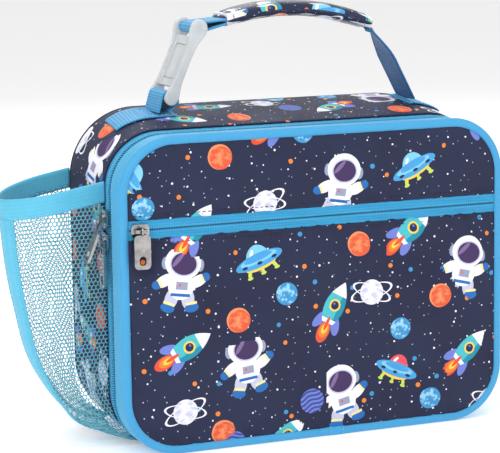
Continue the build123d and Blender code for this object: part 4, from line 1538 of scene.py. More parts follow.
    def boxing(self) -> None:
        """The blue side band, folded under beside the piping and stitched beside the zip."""
        gap = FORM.half - FORM.corner - self.bottom_gap
        s = (FORM.corners_at[1] - gap, FORM.corners_at[8] + gap)
        y = np.array([-49.6, -48.9, -48.2, -47.4, -46.6, -44, -41, -38, -36, -35, -34.3, -33.8, -33.6])
        lift = np.array([-0.3, 0.35, 0.5, 0.2, 0.05, 0.3, 0.4, 0.3, 0.12, 0.0, 0.12, 0.0, -0.5])
        piece = loop_sheet("lid_boxing_cloth", s, y, lift)
        thicken(piece, 0.6)
        self.place(piece, self.cloths.boxing, "blue_fabric", "lid_boxing")
        length, width = s[1] - s[0], self.boxing_width
        length * MM
        width * MM
        length * width * MM * MM
        row = dashes_on_bag("lid_boxing_stitches", (s[0] + 6, s[1] - 6), -35.0, 0.12, 2.2, 1.0, 0.45)
        self.sew(row, "blue_fabric")

    def pocket_zip(self) -> None:
        """The flat pocket's zip: two tapes with two rows of thread, the coils between, and stitches."""
        low, high = self.zip_height - self.zip_band / 2 - 1.6, self.zip_height + self.zip_band / 2 + 1.6
        for name, start, stop in (
            ("upper", self.zip_height + 0.15, high), ("lower", low, self.zip_height - 0.15)
        ):
            z = np.linspace(start, stop, 12)[:, None]
            x = np.linspace(-1, 1, 120)[None] * (self.window_half - 0.2)
            mid = np.abs(z - self.zip_height)
            y = -52.35 - 0.75 * np.exp(
                -((mid - 1.7) / 1.1) ** 2
            ) - 0.25 * np.exp(-((mid - 5.0) / 0.8) ** 2) + 0 * x
            y = y - 0.12 * np.sin(x / 9.0 + z)
            grid = paired(x, y, z)
            flat = paired(z, x)
            piece = sheet_object(f"pocket_zip_tape_{name}_cloth", grid, flat, MIDDLE)
            thicken(piece, 0.4)
            self.place(piece, self.cloths.tape, "zip_tape", f"pocket_zip_tape_{name}")
            side = 1 if name == "upper" else -1
            ends = np.array([-self.window_half + 1.5, self.window_half - 1.5])
            for label, off, material in (
                ("inner", 1.15, self.cloths.coil), ("outer", 2.9, self.cloths.coil)
            ):
                height = self.zip_height + side * off
                line = np.stack(
                    [
                        np.linspace(*ends, 60), np.full(60, -53.1 + (0.45 if off > 2 else 0)),
                        np.full(60, height)
                    ],
                    1
                )
                row = dashes_along(
                    f"pocket_zip_{name}_{label}_row", line, (0, -1, 0), 1.0, 0.5, 1.5 if off < 2 else 0.9,
                    0.9
                )
                nodes = (f"pocket_zip_coil_{name}",) if label == "inner" else ()
                self.place(row, material, "zip_coil", *nodes)
            height = self.zip_height + side * (self.zip_band / 2 + 2.6)
            x_end = float(self.half_width(np.array([height]))[0]) - 3
            x = np.linspace(-x_end, x_end, 160)
            bounds = (self.zip_height + self.zip_band / 2, self.window_top) if side > 0 else (
                self.window_base, self.zip_height - self.zip_band / 2
            )
            y = self.panel_front - self.face_depth(x, np.full_like(x, height), *bounds) - 0.12
            row = dashes_along(
                f"pocket_zip_{name}_seam_stitches", np.stack([x, y, np.full_like(x, height)], 1),
                (0, -1, 0), 2.2, 1.1, 0.5
            )
            self.sew(row, "print_fabric")

    def main_zip_half(self) -> None:
        """The lid's tape and teeth of the main zip."""
        y = np.linspace(self.tape_front, self.tape_back, 7)
        self.half_zip("lid", y, self.tape_back - MAIN_ZIP.coil / 2 + 0.35, 1, 0.0, -32.0)

    def tray(self) -> None:
        """The lining of the lid, a shallow tray of film bound round its rim."""
        inset = self.rim_inner
        gap = self.bottom_gap - (FORM.half - FORM.corner)
        s = (FORM.corners_at[1] + gap, FORM.corners_at[8] - gap)
        y = np.linspace(self.board_back + 0.4, self.rim_back - 0.2, 8)
        along = np.linspace(*s, 300)
        wrinkle = 0.25 * np.sin(along / 5.0 + 1.7 * np.sin(along / 23.0))
        grid = FORM.surface(along[None], y[:, None], -inset - 0.2 - np.abs(wrinkle)[None])
        flat = paired(y[:, None], along[None])
        self.film(sheet_object("lid_liner_wall_film", grid, flat, MIDDLE))
        half, corner = FORM.half - inset, FORM.corner - inset
        base, top = self.window_base + 0.8, FORM.height - inset
        turn = corner * (1 - np.cos(np.linspace(0, np.pi / 2, 14)))
        z = np.unique(
            np.concatenate([base + turn, np.linspace(base + corner, top - corner, 50), top - turn])
        )[:, None]
        dip = np.maximum(np.clip(base + corner - z, 0, corner), np.clip(z - top + corner, 0, corner))
        x = np.linspace(-1, 1, 90)[None] * (half - corner + np.sqrt(corner**2 - dip**2))
        wave = np.sin(x / 19 + np.sin(z / 13)) * np.sin(z / 15 + x / 37)
        y = self.board_back + 0.65 + 0.3 * wave * np.cos(np.pi * x / 2 / half) ** 0.5
        z = np.broadcast_to(z, x.shape)
        before = (0.0, -200.0, 94.0)
        floor = sheet_object("lid_liner_floor_film", np.stack([x, y, z], -1), np.stack([x, z], -1), before)
        self.film(floor, "lid_liner")
        rim = edge_binding("lid_binding_ribbon", s, self.rim_back, 1, (1.5, 5.3))
        self.place(rim, self.cloths.binding, "inner_binding", "lid_binding")


def edge_binding(name: str, s: tuple[float, float], y: float, towards: int, inset: tuple[float, float],
                 length: float = 5.0) -> Piece:
    """Ribbon folded round the raw rim of a wall that follows the bag's outline.

    The section is a rounded bar across the wall with a lip of a given length on the inner face.

    Args:
        name: the piece's name; s: its two ends; y: depth of the rim; towards: +1 if the rim faces +Y.
        inset: the wall's outer and inner face, as distances in from the outline; length: of the lip.

    Returns:
        The ribbon.
    """
    outer, inner = inset
    section = np.array(
        [
            (outer, -0.2), (outer, 0.5), (outer + 0.5, 0.95), (
                (outer + inner) / 2, 1.05
            ), (inner + 0.1, 0.95),
            (inner + 0.6, 0.4), (
                inner + 0.65, -length * 0.5
            ), (inner + 0.5, -length), (inner - 0.1, -length),
            (inner - 0.1, -length * 0.5), (inner - 0.2, -0.2), ((outer + inner) / 2, -0.2),
        ]
    )
    along = np.linspace(*s, 300)
    rings = FORM.surface(along[:, None], y + towards * section[None, :, 1], -section[None, :, 0])
    flat = paired(run_lengths(section)[None], along[:, None])
    return tube_object(name, rings, flat)


# ---------------------------------------------------------------- the body

@dataclass
class Body(SubAssembly):
    """The printed box behind the zip: wrap, back, base, lining and the body's half of the zip."""

    body: str = "shell"
    wrap_front: float = -20.8
    wrap_back: float = 44.0
    base_front: float = -48.4
    base_half: float = 90.0
    tape_front: float = -28.2
    mouth: float = -24.0
    liner_inset: float = 5.9

    def build(self) -> None:
        """Build every piece of the body but its pocket and handle."""
        self.wrap()
        self.back()
        self.base()
        self.zip_half()
        self.tub()
        self.carry_over(self.cloths.foam, "foam_top", "foam_left", "foam_right", "foam_base", "foam_back")

    def wrap(self) -> None:
        """The print round the left side, top and right side, swollen over its foam."""
        s = np.linspace(FORM.corners_at[1], FORM.corners_at[8], 330)[None]
        y = np.concatenate(
            [
                [self.wrap_front], self.wrap_front + np.array([0.5, 1.1, 2.0, 3.2]),
                np.linspace(-15.5, 44, 27)
            ]
        )[:, None]
        grid = FORM.surface(s, y, 0.0, swollen=True)
        flat = paired(s, y)
        piece = self.printed_sheet("side_wrap_cloth", grid, flat, wrap_layout(), "side_wrap")
        row = dashes_on_bag(
            "side_wrap_stitches", (s[0, 0] + 14, s[0, -1] - 14), self.wrap_front + 1.3, 0.35, 2.2, 1.0, 0.45
        )
        self.sew(row, "print_fabric")

    def back(self) -> None:
        """The back panel: it rolls over the back edge, then closes in rings to a line at its middle."""
        s = np.linspace(0, FORM.corners_at[9], 300, endpoint=False)[None]
        roll = 52.0 - 8.0 * np.cos(np.linspace(0, np.pi / 2, 9))[:, None] ** 1.3
        rolled = FORM.surface(s, np.minimum(roll, 51.999), 0.0)
        half, base, top, corner = (float(v) for v in FORM.outline(np.array(51.999)))
        inset = np.linspace(0, (top - base) / 2 - 0.4, 36)[1:, None]
        radius = np.maximum(corner - inset, 0.6)
        x, z, _, _ = FORM.ring(s, (half - inset, base + inset, top - inset, radius))
        y = 52.0 + 2.2 * (
            1 - np.exp(-inset / 14)
        ) + 0.4 * np.sin(x / 17 + np.sin(z / 13)) * (1 - np.exp(-inset / 9))
        flat_part = np.stack([x, np.broadcast_to(y, x.shape), z], -1)
        grid = np.concatenate([rolled, flat_part])
        flat, layout = grid[..., [0, 2]] * (-1, 1), repeat_layout(250, 200, 3, (-125.0, 0.0))
        piece = self.printed_sheet("back_panel_cloth", grid, flat, layout, "back_panel", closed=True)
        along = np.linspace(0, FORM.corners_at[9], 420)
        seam = FORM.surface(along, np.full_like(along, 43.4), 0.3)
        cord = pipe_along("back_seam_fold", seam, 0.9)
        self.place(cord, self.cloths.printed_plain, "print_fabric")

    def base(self) -> None:
        """The flat base, from the lid's fold to the back seam."""
        x = np.linspace(-self.base_half, self.base_half, 60)[None]
        y = np.linspace(self.base_front, self.wrap_back, 30)[:, None]
        z = 0.05 + 0.0 * x * y
        grid = paired(x, y, z)
        flat, layout = grid[..., [0, 1]].copy(), repeat_layout(190, 100, 5, (-95.0, -50.0))
        piece = self.printed_sheet("base_panel_cloth", grid, flat, layout, "base_panel")

    def zip_half(self) -> None:
        """The body's tape and teeth of the main zip, and the fabric tabs over its two ends."""
        y = np.linspace(self.tape_front, self.wrap_front + 2.0, 10)
        self.half_zip("body", y, self.tape_front + MAIN_ZIP.coil / 2 - 0.35, -1, 0.5, -24.6)
        first, last = MAIN_ZIP.span(MAIN_ZIP.stop)
        ends = []
        for side, span in (("right", (FORM.corners_at[1], first)), ("left", (last, FORM.corners_at[8]))):
            y = np.linspace(-26.6, self.wrap_front, 8)
            lift = np.array([-0.6, 0.2, 0.35, 0.3, 0.3, 0.35, 0.3, 0.0])
            tab = loop_sheet(f"zip_end_tab_{side}", span, y, lift)
            thicken(tab, 0.7)
            ends.append(tab)
        self.place(ends[0], self.cloths.boxing, "blue_fabric", "zip_end_tabs")
        self.place(ends[1], self.cloths.boxing, "blue_fabric")

    def tub(self) -> None:
        """The silver lining: walls, back and the apron over the base, with a bound mouth."""
        inset = self.liner_inset + 0.25
        s = np.linspace(0, FORM.corners_at[9], 300, endpoint=False)[None]
        y = np.linspace(self.mouth + 0.6, 46.0, 34)[:, None]
        depth = np.clip((y - self.mouth) / 20, 0, 1)
        crease = 0.8 * np.abs(np.sin(s / 13 + 1.5 * np.sin(y / 11))) * depth
        wall = FORM.surface(s, y, -inset - crease)
        half, base, top, corner = (float(v) for v in FORM.outline(np.array(46.0)))
        shrink = np.linspace(0, (top - base) / 2 - inset - 0.6, 30)[1:, None] + inset
        x, z, _, _ = FORM.ring(
            s, (half - shrink, base + shrink, top - shrink, np.maximum(corner - shrink, 0.6))
        )
        level = 46.0 - 0.5 * np.abs(np.sin(x / 15 + np.sin(z / 12)))
        grid = np.concatenate([wall, np.stack([x, level, z], -1)])
        far = np.arange(grid.shape[0])[:, None] * 2.2
        flat = paired(far, s)
        self.film(sheet_object("body_liner_film", grid, flat, MIDDLE, wrap_cols=True), "body_liner")
        x = np.linspace(-87.5, 87.5, 60)[None]
        y = np.linspace(-44.0, self.mouth + 0.6, 12)[:, None]
        z = 6.35 + 0.12 * np.sin(x / 9) * np.sin(y / 5)
        self.film(sheet_object("apron_liner_film", paired(x, y, z), paired(y, x), MIDDLE))
        ends = (FORM.corners_at[1], FORM.corners_at[8])
        rim = edge_binding("mouth_binding_ribbon", ends, self.mouth, -1, (1.5, 6.3), 9.0)
        self.place(rim, self.cloths.binding, "inner_binding", "mouth_binding")


def pipe_along(name: str, line: Array, radius: float, sides: int = 8) -> Piece:
    """A round cord along a closed line in which no run is level with the Y axis."""
    run = unit(np.roll(line, -1, 0) - np.roll(line, 1, 0))
    side = np.broadcast_to(np.array([0.0, 1.0, 0.0]), line.shape)
    up = unit(np.cross(run, side))
    turn = np.linspace(0, 2 * np.pi, sides, endpoint=False)
    rings = line[:, None] + radius * (
        np.cos(turn)[None, :, None] * side[:, None] + np.sin(turn)[None, :, None] * up[:, None]
    )
    flat = paired(np.arange(sides)[None] * 0.7, run_lengths(line)[:, None])
    return tube_object(name, rings[:-1], flat[:-1], closed=True)


def wrap_layout() -> list[Placed]:
    """Drawings on the wrap: those of the top and the upper left side listed one by one, the rest on the
    lattice.

    On the top s grows towards -X, so a drawing's x is taken from the top's middle.
    """
    top = (FORM.corners_at[4] + FORM.corners_at[5]) / 2
    left = FORM.corners_at[6]
    hand = drawings({
        Motif.ROCKET: [(top + 71, -2, 120), (top - 38, 4, -120), (top + 46, 22, 100),
            (left + 14, -10, 90)],
        Motif.ORANGE: [(top + 32, -6), (top - 78, -9), (top + 75, 36), (left - 32, 12), (left + 17, 35)],
        Motif.RINGED: [(top + 4, 24, 180), (left - 20, 36, 90)],
        Motif.STRIPED: [(top - 9, 8), (left + 8, 16)],
        Motif.ASTRONAUT: [(top - 80, 27, 190), (left - 14, -2, 100)],
        Motif.BLUE: [(top - 48, 32)],
        Motif.SAUCER: [(top - 10, 38, 170)],
    })
    reach = (FORM.corners_at[4] - 8, left + 32)
    rest = [p for p in repeat_layout(760, 70, 7, (0.0, -14.0)) if not reach[0] < p.across < reach[1]]
    return hand + rest


# ---------------------------------------------------------------- zip hardware

@dataclass
class Hardware(SubAssembly):
    """The sliders and pulls, kept as packed and plated."""

    def build(self) -> None:
        """Plate every slider and pull."""
        names = (
            "main_slider_upper", "main_pull_upper", "main_slider_lower", "main_pull_lower", "pocket_slider",
            "pocket_pull"
        )
        self.carry_over(self.cloths.nickel, *names)


# ---------------------------------------------------------------- the bottle pocket

@dataclass
class BottlePocket(SubAssembly):
    """The net pocket on the left side, with its rim and outer seam bound in ribbon."""

    reach: float = 57.0
    front_y: float = -21.5
    back_y: float = 48.0
    seam_y: float = -5.0
    tuck: float = 0.25
    rim_height: float = 161.0
    rim_drop: float = 9.0
    rim_band: float = 12.5
    hole: float = 2.7
    strand: float = 0.62
    sections: tuple[tuple[float, float, float], ...] = (
        (2.0, 0.13, 22.0), (9.0, 0.29, 10.4), (25.0, 0.44, 1.0), (44.0, 0.65, 0.0), (90.0, 0.88, 0.0),
        (150.0, 1.0, 0.0), (166.0, 1.02, 0.0),
    )

    def build(self) -> None:
        """Build both nets, the rim and the outer seam."""
        self.net("front", 0.0, 4.0)
        self.net("back", 8.0, 4.0)
        self.rim()
        self.seam()

    def plan(self, a: Array) -> tuple[Array, Array]:
        """Share of the reach and depth along the pocket seen from above; a runs 0 to 8, front to back."""
        share = smooth_through(range(9), (0.0, 0.26, 0.56, 0.82, 1.0, 0.97, 0.74, 0.39, 0.0), a)
        front, seam, back = self.front_y, self.seam_y, self.back_y
        depth = smooth_through(
            range(9),
            (front, front - 1, front - 2, front + 3.5, seam, seam + 17, back - 16, back - 4, back), a
        )
        return share, depth

    def point(self, a: Array, z: Array, lift: float | Array = 0.0) -> Array:
        """A place on the pocket: it narrows and is drawn in under the bag as it goes down.

        Soft folds gather towards its foot; lift moves it outwards.
        """
        heights = [h for h, _, _ in self.sections]
        share = smooth_through(heights, [s for _, s, _ in self.sections], z)
        draw = smooth_through(heights, [d for _, _, d in self.sections], z)
        out, depth = self.plan(a)
        ahead = self.plan(np.minimum(a + 0.02, 8.0))
        behind = self.plan(np.maximum(a - 0.02, 0.0))
        run_x, run_y = -(ahead[0] - behind[0]) * self.reach * share, ahead[1] - behind[1]
        size = np.hypot(run_x, run_y) + 1e-9
        fold = 0.9 * np.sin(a * 5.1 + z / 31) * np.exp(-z / 60) * np.sin(
            np.pi * np.clip(a / 8, 0, 1)
        ) ** 0.5
        sag = 0.8 * np.sin(np.pi * a / 4) ** 2 * np.sin(np.pi * np.clip(z / 150, 0, 1))
        move = lift + fold - sag
        x = -FORM.half + draw - share * self.reach * out - run_y / size * move
        late = np.clip((depth - self.seam_y) / (self.back_y - self.seam_y), 0, 1)
        y = depth - self.tuck * draw * late + run_x / size * move
        return paired(x, y, z)

    def top(self, a: Array, below: float = 0.0) -> Array:
        """Height of the rim, or of a line below it, which drops towards the outer seam."""
        return self.rim_height - below - self.rim_drop * self.plan(a)[0]

    def net(self, name: str, root: float, seam: float) -> None:
        """One net: a honeycomb of strands on the cloth between the bag's side and the outer seam.

        The cloth is measured p millimetres from the side and z up, so that the seam cuts the
        honeycomb off aslant as the pocket narrows. Each strand is a four-sided bar between two
        corners of a hexagon.

        Args:
            name: front or back; root: where a starts at the side; seam: and at the outer seam.
        """
        fine = np.linspace(root, seam, 60)
        z_fine = np.linspace(2.0, self.rim_height, 60)
        mesh = self.point(fine[:, None], z_fine[None])
        length = np.linalg.norm(np.diff(mesh, axis=0), axis=2).sum(axis=0)
        spread = run_lengths(self.point(fine, np.full_like(fine, 120.0)))
        rise = self.hole * math.sqrt(3) / 2
        rows = np.arange(0, math.ceil(self.rim_height / rise))[:, None]
        columns = np.arange(0, math.ceil(length.max() / self.hole) + 1)[None]
        centre = paired(columns * self.hole + (rows % 2) * self.hole / 2, rows * rise).reshape(-1, 2)
        side = self.hole / math.sqrt(3)
        angle = np.radians([90, 30, -30, -90])
        corner = np.stack([np.cos(angle), np.sin(angle)], 1) * side
        starts = (centre[:, None] + corner[None, :3]).reshape(-1, 2)
        ends = (centre[:, None] + corner[None, 1:]).reshape(-1, 2)

        def lifted(at: Array) -> tuple[Array, Array]:
            """Places on the pocket of points on the cloth, and whether each is on it."""
            limit = np.interp(at[:, 1], z_fine, length)
            share = at[:, 0] / limit
            a = np.interp(np.clip(share, 0, 1) * spread[-1], spread, fine)
            z = np.clip(at[:, 1], 2.0, self.top(a, self.rim_band - 1.5))
            good = (share <= 1.0) & (at[:, 1] >= 2.0) & (
                at[:, 1] <= self.top(a, self.rim_band - 2.5)
            ) & (at[:, 0] >= 0)
            place = self.point(a, z)
            return place, good

        begin, fine_a = lifted(starts)
        finish, fine_b = lifted(ends)
        keep = fine_a & fine_b & (np.linalg.norm(finish - begin, axis=1) > 0.3)
        begin, finish, at = begin[keep], finish[keep], starts[keep]
        run = unit(finish - begin)
        outward = begin - np.array([-FORM.half, 12.0, 0.0])
        outward[:, 2] = 0
        out = square_to(run, unit(outward))
        across = np.cross(out, run)
        half, thick = self.strand / 2, 0.2
        offsets = [(half, 0), (0, thick), (-half, 0), (0, -thick)]
        ring = [across * w + out * t for w, t in offsets]
        points = np.stack([begin + r for r in ring] + [finish + r for r in ring], axis=1)
        pattern = np.array([[0, 1, 5, 4], [1, 2, 6, 5], [2, 3, 7, 6], [3, 0, 4, 7]])[:, ::-1]
        faces = (pattern[None] + (np.arange(len(points)) * 8)[:, None, None]).reshape(-1, 4)
        piece = mesh_object(f"pocket_net_{name}", points.reshape(-1, 3), faces, np.repeat(at, 8, axis=0))
        self.place(piece, self.cloths.net, "mesh", f"pocket_mesh_{name}")

    def rim(self) -> None:
        """The ribbon folded over the net's top edge: a flat loop carried along the rim."""
        a = np.linspace(0.0, 8.0, 130)
        section = np.array(
            [
                (0.7, 0.0), (0.95, 0.9), (0.9, 3.0), (0.8, 7.0), (0.9, 10.5), (0.75, 11.8), (0.0, 12.5),
                (-0.75, 11.8), (-0.9, 10.5), (-0.8, 7.0), (-0.9, 3.0), (-0.7, 0.0),
            ]
        )
        low = self.top(a, self.rim_band)[:, None]
        rings = self.point(a[:, None], low + section[None, :, 1], section[None, :, 0])
        length = run_lengths(rings[:, 6])
        flat = paired(section[None, :, 1], length[:, None])
        piece = tube_object("pocket_rim_ribbon", rings, flat)
        self.place(piece, self.cloths.rim, "blue_fabric", "pocket_rim_binding")
        for label, lift, turn in (("outer", 1.0, 1), ("inner", -1.0, -1)):
            line = self.point(a, self.top(a, self.rim_band) + 1.5, lift)
            rise = (self.point(a, self.top(a, 8.0), 2.0) - self.point(a, self.top(a, 8.0), 0.0)) * turn
            row = dashes_along(f"pocket_rim_{label}_stitches", line, rise, 2.6, 1.3, 0.6)
            self.sew(row, "blue_fabric")

    def seam(self) -> None:
        """The ribbon over the outer seam where the two nets meet."""
        z = np.linspace(3.0, float(self.top(np.array(4.0), self.rim_band)) + 1.0, 90)
        section = np.array(
            [
                (-4.0, 0.15), (-3.9, 0.75), (-2.0, 0.95), (0.0, 1.1), (2.0, 0.95), (3.9, 0.75), (4.0, 0.15),
                (0.0, -0.3)
            ]
        )
        scale = 0.12 * np.clip(z / 40, 0.45, 1.0)[:, None]
        a = 4.0 + section[None, :, 0] * scale
        rings = self.point(a, np.broadcast_to(z[:, None], a.shape), section[None, :, 1])
        flat = paired(section[None, :, 0], z[:, None])
        piece = tube_object("pocket_seam_ribbon", rings, flat)
        self.place(piece, self.cloths.rim, "blue_fabric", "pocket_seam_binding")
        for label, off in (("front", -2.8), ("back", 2.8)):
            a = 4.0 + off * scale[:, 0]
            line = self.point(a, z, 0.95)
            rise = self.point(a, z, 2.0) - self.point(a, z, 0.0)
            row = dashes_along(f"pocket_seam_{label}_stitches", line, rise, 2.4, 1.3, 0.5)
            self.sew(row, "blue_fabric")


# ---------------------------------------------------------------- the handle

@dataclass
class Handle(SubAssembly):
    """The carrying handle: a webbing loop, a frosted clip, a padded printed grip and its straps."""

    body: str = "handle"
    level: float = 12.0                 # depth of its plane
    width: float = 25.0
    thickness: float = 1.4
    hinge: float = 200.0
    grip_ends: tuple[tuple[float, float], ...] = ((-35.5, 250.5), (14.0, 256.0), (61.0, 245.5))
    grip_width: float = 27.0
    grip_height: float = 9.0
    clip_head: tuple[float, float] = (-54.6, 246.6)
    crossbar: float = 1.8
    clip_foot: tuple[float, float] = (-73.0, 205.5)
    clip_half: float = 15.5             # half its width over the cheeks
    cheek_inner: float = 12.9
    foot_round: float = 4.4             # radius of the cheeks' rounds, at the foot and the head
    head_round: float = 5.4
    waist: float = 2.5                  # half thickness of the cheeks between them
    hole_half: float = 8.0
    strap: tuple[tuple[float, float], ...] = ((59.0, 246.0), (64.5, 244.6), (74.5, 227.5), (90.5, 196.6))
    loop: tuple[tuple[float, float], ...] = ((-80.5, 196.6), (-76.0, 212.8), (-66.8, 203.3), (-73.5, 196.8))

    def build(self) -> None:
        """Build the anchors, loop, straps and grip, and give the clip its finish."""
        self.anchors()
        self.crossing(
            "handle_loop_webbing", rounded_path(self.loop, (3.6, 2.6)), "handle_loop", "loop_foot"
        )
        strap = rounded_path(self.strap, (2.0, 30.0))
        height = np.clip((strap[:, 1] - 222.0) / 22.0, 0, 1)
        twist = np.radians(26.0) * height**1.5
        self.crossing("right_strap_webbing", strap, "strap_right", "strap_foot", twist=twist)
        self.left_strap()
        self.grip()
        self.clip()
        self.carry_over(self.cloths.frosted, "clip_gate")
        self.carry_over(self.cloths.foam, "grip_foam")
        self.carry_over(self.cloths.core, "grip_webbing")

    def ribbon(self, name: str, path: Array, twist: Array | float = 0.0) -> Piece:
        """Webbing along a path in the handle's plane.

        Its section is a flat bar with a thicker selvedge on each edge, turned about the path by the twist.

        Args:
            name: the piece's name; path: (n, 2) x and z of its middle; twist: radians at each point.

        Returns:
            The webbing.
        """
        half, thin = self.width / 2, self.thickness / 2
        top = np.array(
            [
                (-half, 0.25), (-half + 0.5, 0.95), (-half + 1.3, 1.1), (-half + 2.0, 0.85),
                (-half / 2, 0.9), (0.0, 0.94)
            ]
        )
        upper = np.concatenate([top, (top[:-1] * (-1, 1))[::-1]]) * (1, thin)
        section = np.concatenate([upper, (upper * (1, -1))[::-1]])
        run = unit(np.gradient(path, axis=0))
        normal = np.stack([-run[:, 1], run[:, 0]], 1)
        turn = np.broadcast_to(np.asarray(twist, float), (len(path),))[:, None]
        across = section[None, :, 0] * np.cos(turn) - section[None, :, 1] * np.sin(turn)
        proud = section[None, :, 0] * np.sin(turn) + section[None, :, 1] * np.cos(turn)
        x = path[:, 0:1] + normal[:, 0:1] * proud
        z = path[:, 1:2] + normal[:, 1:2] * proud
        y = self.level + across
        flat = paired(section[None, :, 0], run_lengths(path)[:, None])
        return tube_object(name, np.stack([x, y, z], -1), flat)

    def crossing(self, name: str, path: Array, *replaced: str, twist: Array | float = 0.0) -> None:
        """Webbing that crosses the line about which the handle tilts."""
        piece = self.ribbon(name, path, twist)
        # a twisted strap takes the webbing's copy darkened with painted shade
        dress(piece, self.cloths.shaded_webbing if np.any(twist) else self.cloths.webbing)
        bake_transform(piece)
        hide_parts(*replaced)
        self.pieces.append(piece)

    def anchors(self) -> None:
        """The two ends sewn flat on the top, each with a stitched frame and cross."""
        handle_body, self.body = self.body, "shell"
        fine = np.linspace(FORM.corners_at[4], FORM.corners_at[6], 400)
        x_fine = FORM.surface(fine, np.full_like(fine, self.level))[:, 0]
        right_fine = np.linspace(FORM.corners_at[3], FORM.corners_at[5], 400)
        x_right = FORM.surface(right_fine, np.full_like(right_fine, self.level))[:, 0]
        for side, x_low, x_high in (("left", -106.0, -68.0), ("right", 86.0, 106.0)):
            table = (-x_fine, fine) if side == "left" else (-x_right, right_fine)
            s = sorted(float(np.interp(-x, *table)) for x in (x_low, x_high))
            along = np.linspace(*s, 30)[:, None]
            y = self.level + np.array([-12.5, -12.2, -11.2, -9, -5, 0, 5, 9, 11.2, 12.2, 12.5])[None]
            lift = np.array([0.9, 1.5, 1.6, 1.4, 1.4, 1.45, 1.4, 1.4, 1.6, 1.5, 0.9])[None]
            lift = lift - 0.5 * np.exp(
                -((along - s[0]) / 0.8) ** 2
            ) - 0.5 * np.exp(-((along - s[1]) / 0.8) ** 2)
            grid = FORM.surface(along, y, lift, swollen=True)
            flat = paired(y, along)
            piece = sheet_object(f"anchor_{side}_webbing", grid, flat, MIDDLE)
            thicken(piece, 1.3)
            self.place(piece, self.cloths.webbing, "webbing", f"anchor_{side}")
            a, b, low, high = s[0] + 2.2, min(s[1], s[0] + 24) - 2.2, self.level - 10, self.level + 10
            route = np.array(
                [(a, low), (b, low), (b, high), (a, high), (a, low), (b, high), (a, high), (b, low)]
            )
            route = respaced(route, 0.8)
            line = FORM.surface(route[:, 0], route[:, 1], 1.62, swollen=True)
            row = dashes_along(f"anchor_{side}_stitches", line, (0, 0, 1), 1.9, 0.9, 0.5, 0.5)
            self.sew(row, "webbing")
        self.body = handle_body

    def left_strap(self) -> None:
        """Webbing out of the grip, round the clip's upper crossbar and back into the grip."""
        head, start = np.array(self.clip_head), np.array(self.grip_ends[0]) + (4.0, 0.0)
        along = (start - head) / np.linalg.norm(start - head)
        across = np.array([-along[1], along[0]])
        radius = self.crossbar + 0.3 + self.thickness / 2
        turn = np.linspace(np.pi / 2, 3 * np.pi / 2, 24)
        arc = head + radius * (np.cos(turn)[:, None] * along + np.sin(turn)[:, None] * across)
        near = self.thickness / 2 + 0.15
        path = np.concatenate([[start + across * near], arc, [start - across * near]])
        piece = self.ribbon("left_strap_webbing", respaced(path, 0.8))
        self.place(piece, self.cloths.webbing, "webbing", "strap_left")
        mid = head + along * 9.0
        for label, side in (("upper", 1), ("lower", -1)):
            spot = mid + across * side * (near + self.thickness / 2 + 0.5)
            y = np.linspace(self.level - 10.5, self.level + 10.5, 30)
            line = np.stack([np.full(30, spot[0]), y, np.full(30, spot[1])], 1)
            rise = (across[0] * side, 0.0, across[1] * side)
            row = dashes_along(f"left_strap_{label}_stitches", line, rise, 1.9, 0.8, 0.5, 0.5)
            self.sew(row, "webbing")

    def clip(self) -> None:
        """The clip's frame: two cheeks that swell round its crossbars, and a plate between them.

        The plate has a hole for the gate. Each bar of the frame is a stack of rounded rectangles
        along the clip, their half thickness
        sqrt(r^2 - d^2) about each crossbar and the waist's between them.
        """
        foot, head = np.array(self.clip_foot), np.array(self.clip_head)
        length = float(np.linalg.norm(head - foot))
        along = (head - foot) / length
        across = np.array([along[1], -along[0]])
        outer, inner, near, bar_radius = self.clip_half, self.cheek_inner, self.hole_half, self.crossbar

        def bar(
            low: float, high: float, start: float, stop: float, half: Callable[[Array], Array]
        ) -> tuple[Array, Array]:
            """Points and faces of a bar from its sides, its ends and its half thickness along the clip."""
            t = 0.5 - 0.5 * np.cos(np.linspace(0, np.pi, 46))
            d = start + (stop - start) * t
            turn = np.linspace(0, 2 * np.pi, 20, endpoint=False)
            square = 2 / 7.0
            side = np.sign(np.cos(turn)) * np.abs(np.cos(turn)) ** square
            up = np.sign(np.sin(turn)) * np.abs(np.sin(turn)) ** square
            thick = np.maximum(half(d), 0.12)[:, None] * up[None]
            wide = self.level + (low + high) / 2 + (high - low) / 2 * side[None] + 0 * thick
            spot = foot[None, None] + d[:, None, None] * along + thick[..., None] * across
            points = np.stack([spot[..., 0], wide, spot[..., 1]], -1)
            faces = grid_faces(46, 20, wrap_cols=True)
            cap = np.arange(10)
            ends = [
                np.stack(
                    [k + cap[:-1], k + cap[1:], k + 19 - cap[1:], k + 19 - cap[:-1]], 1
                ) for k in (0, 45 * 20)
            ]
            return points.reshape(-1, 3), np.concatenate([faces, *ends])

        def rounded(d: Array, at: float, radius: float) -> Array:
            """Half thickness of a round bar whose middle is at a place along the clip."""
            return np.sqrt(np.clip(radius**2 - (d - at) ** 2, 0, None))

        def level(d: Array) -> Array:
            """Half thickness of the plate, a little less than the cheeks'."""
            return 0 * d + self.waist - 0.25

        def cheek(d: Array) -> Array:
            """Half thickness of a cheek: a round at each crossbar, eased into the waist."""
            low, high = rounded(d, 0.0, self.foot_round), rounded(d, length, self.head_round)
            ease = self.waist + 1.9 * np.exp(-((d / 7.0) ** 2)) + 2.9 * np.exp(-(((d - length) / 8.0) ** 2))
            between = np.clip(np.minimum(d, length - d) / 2, 0, 1)
            return np.maximum(np.maximum(low, high), ease * between)

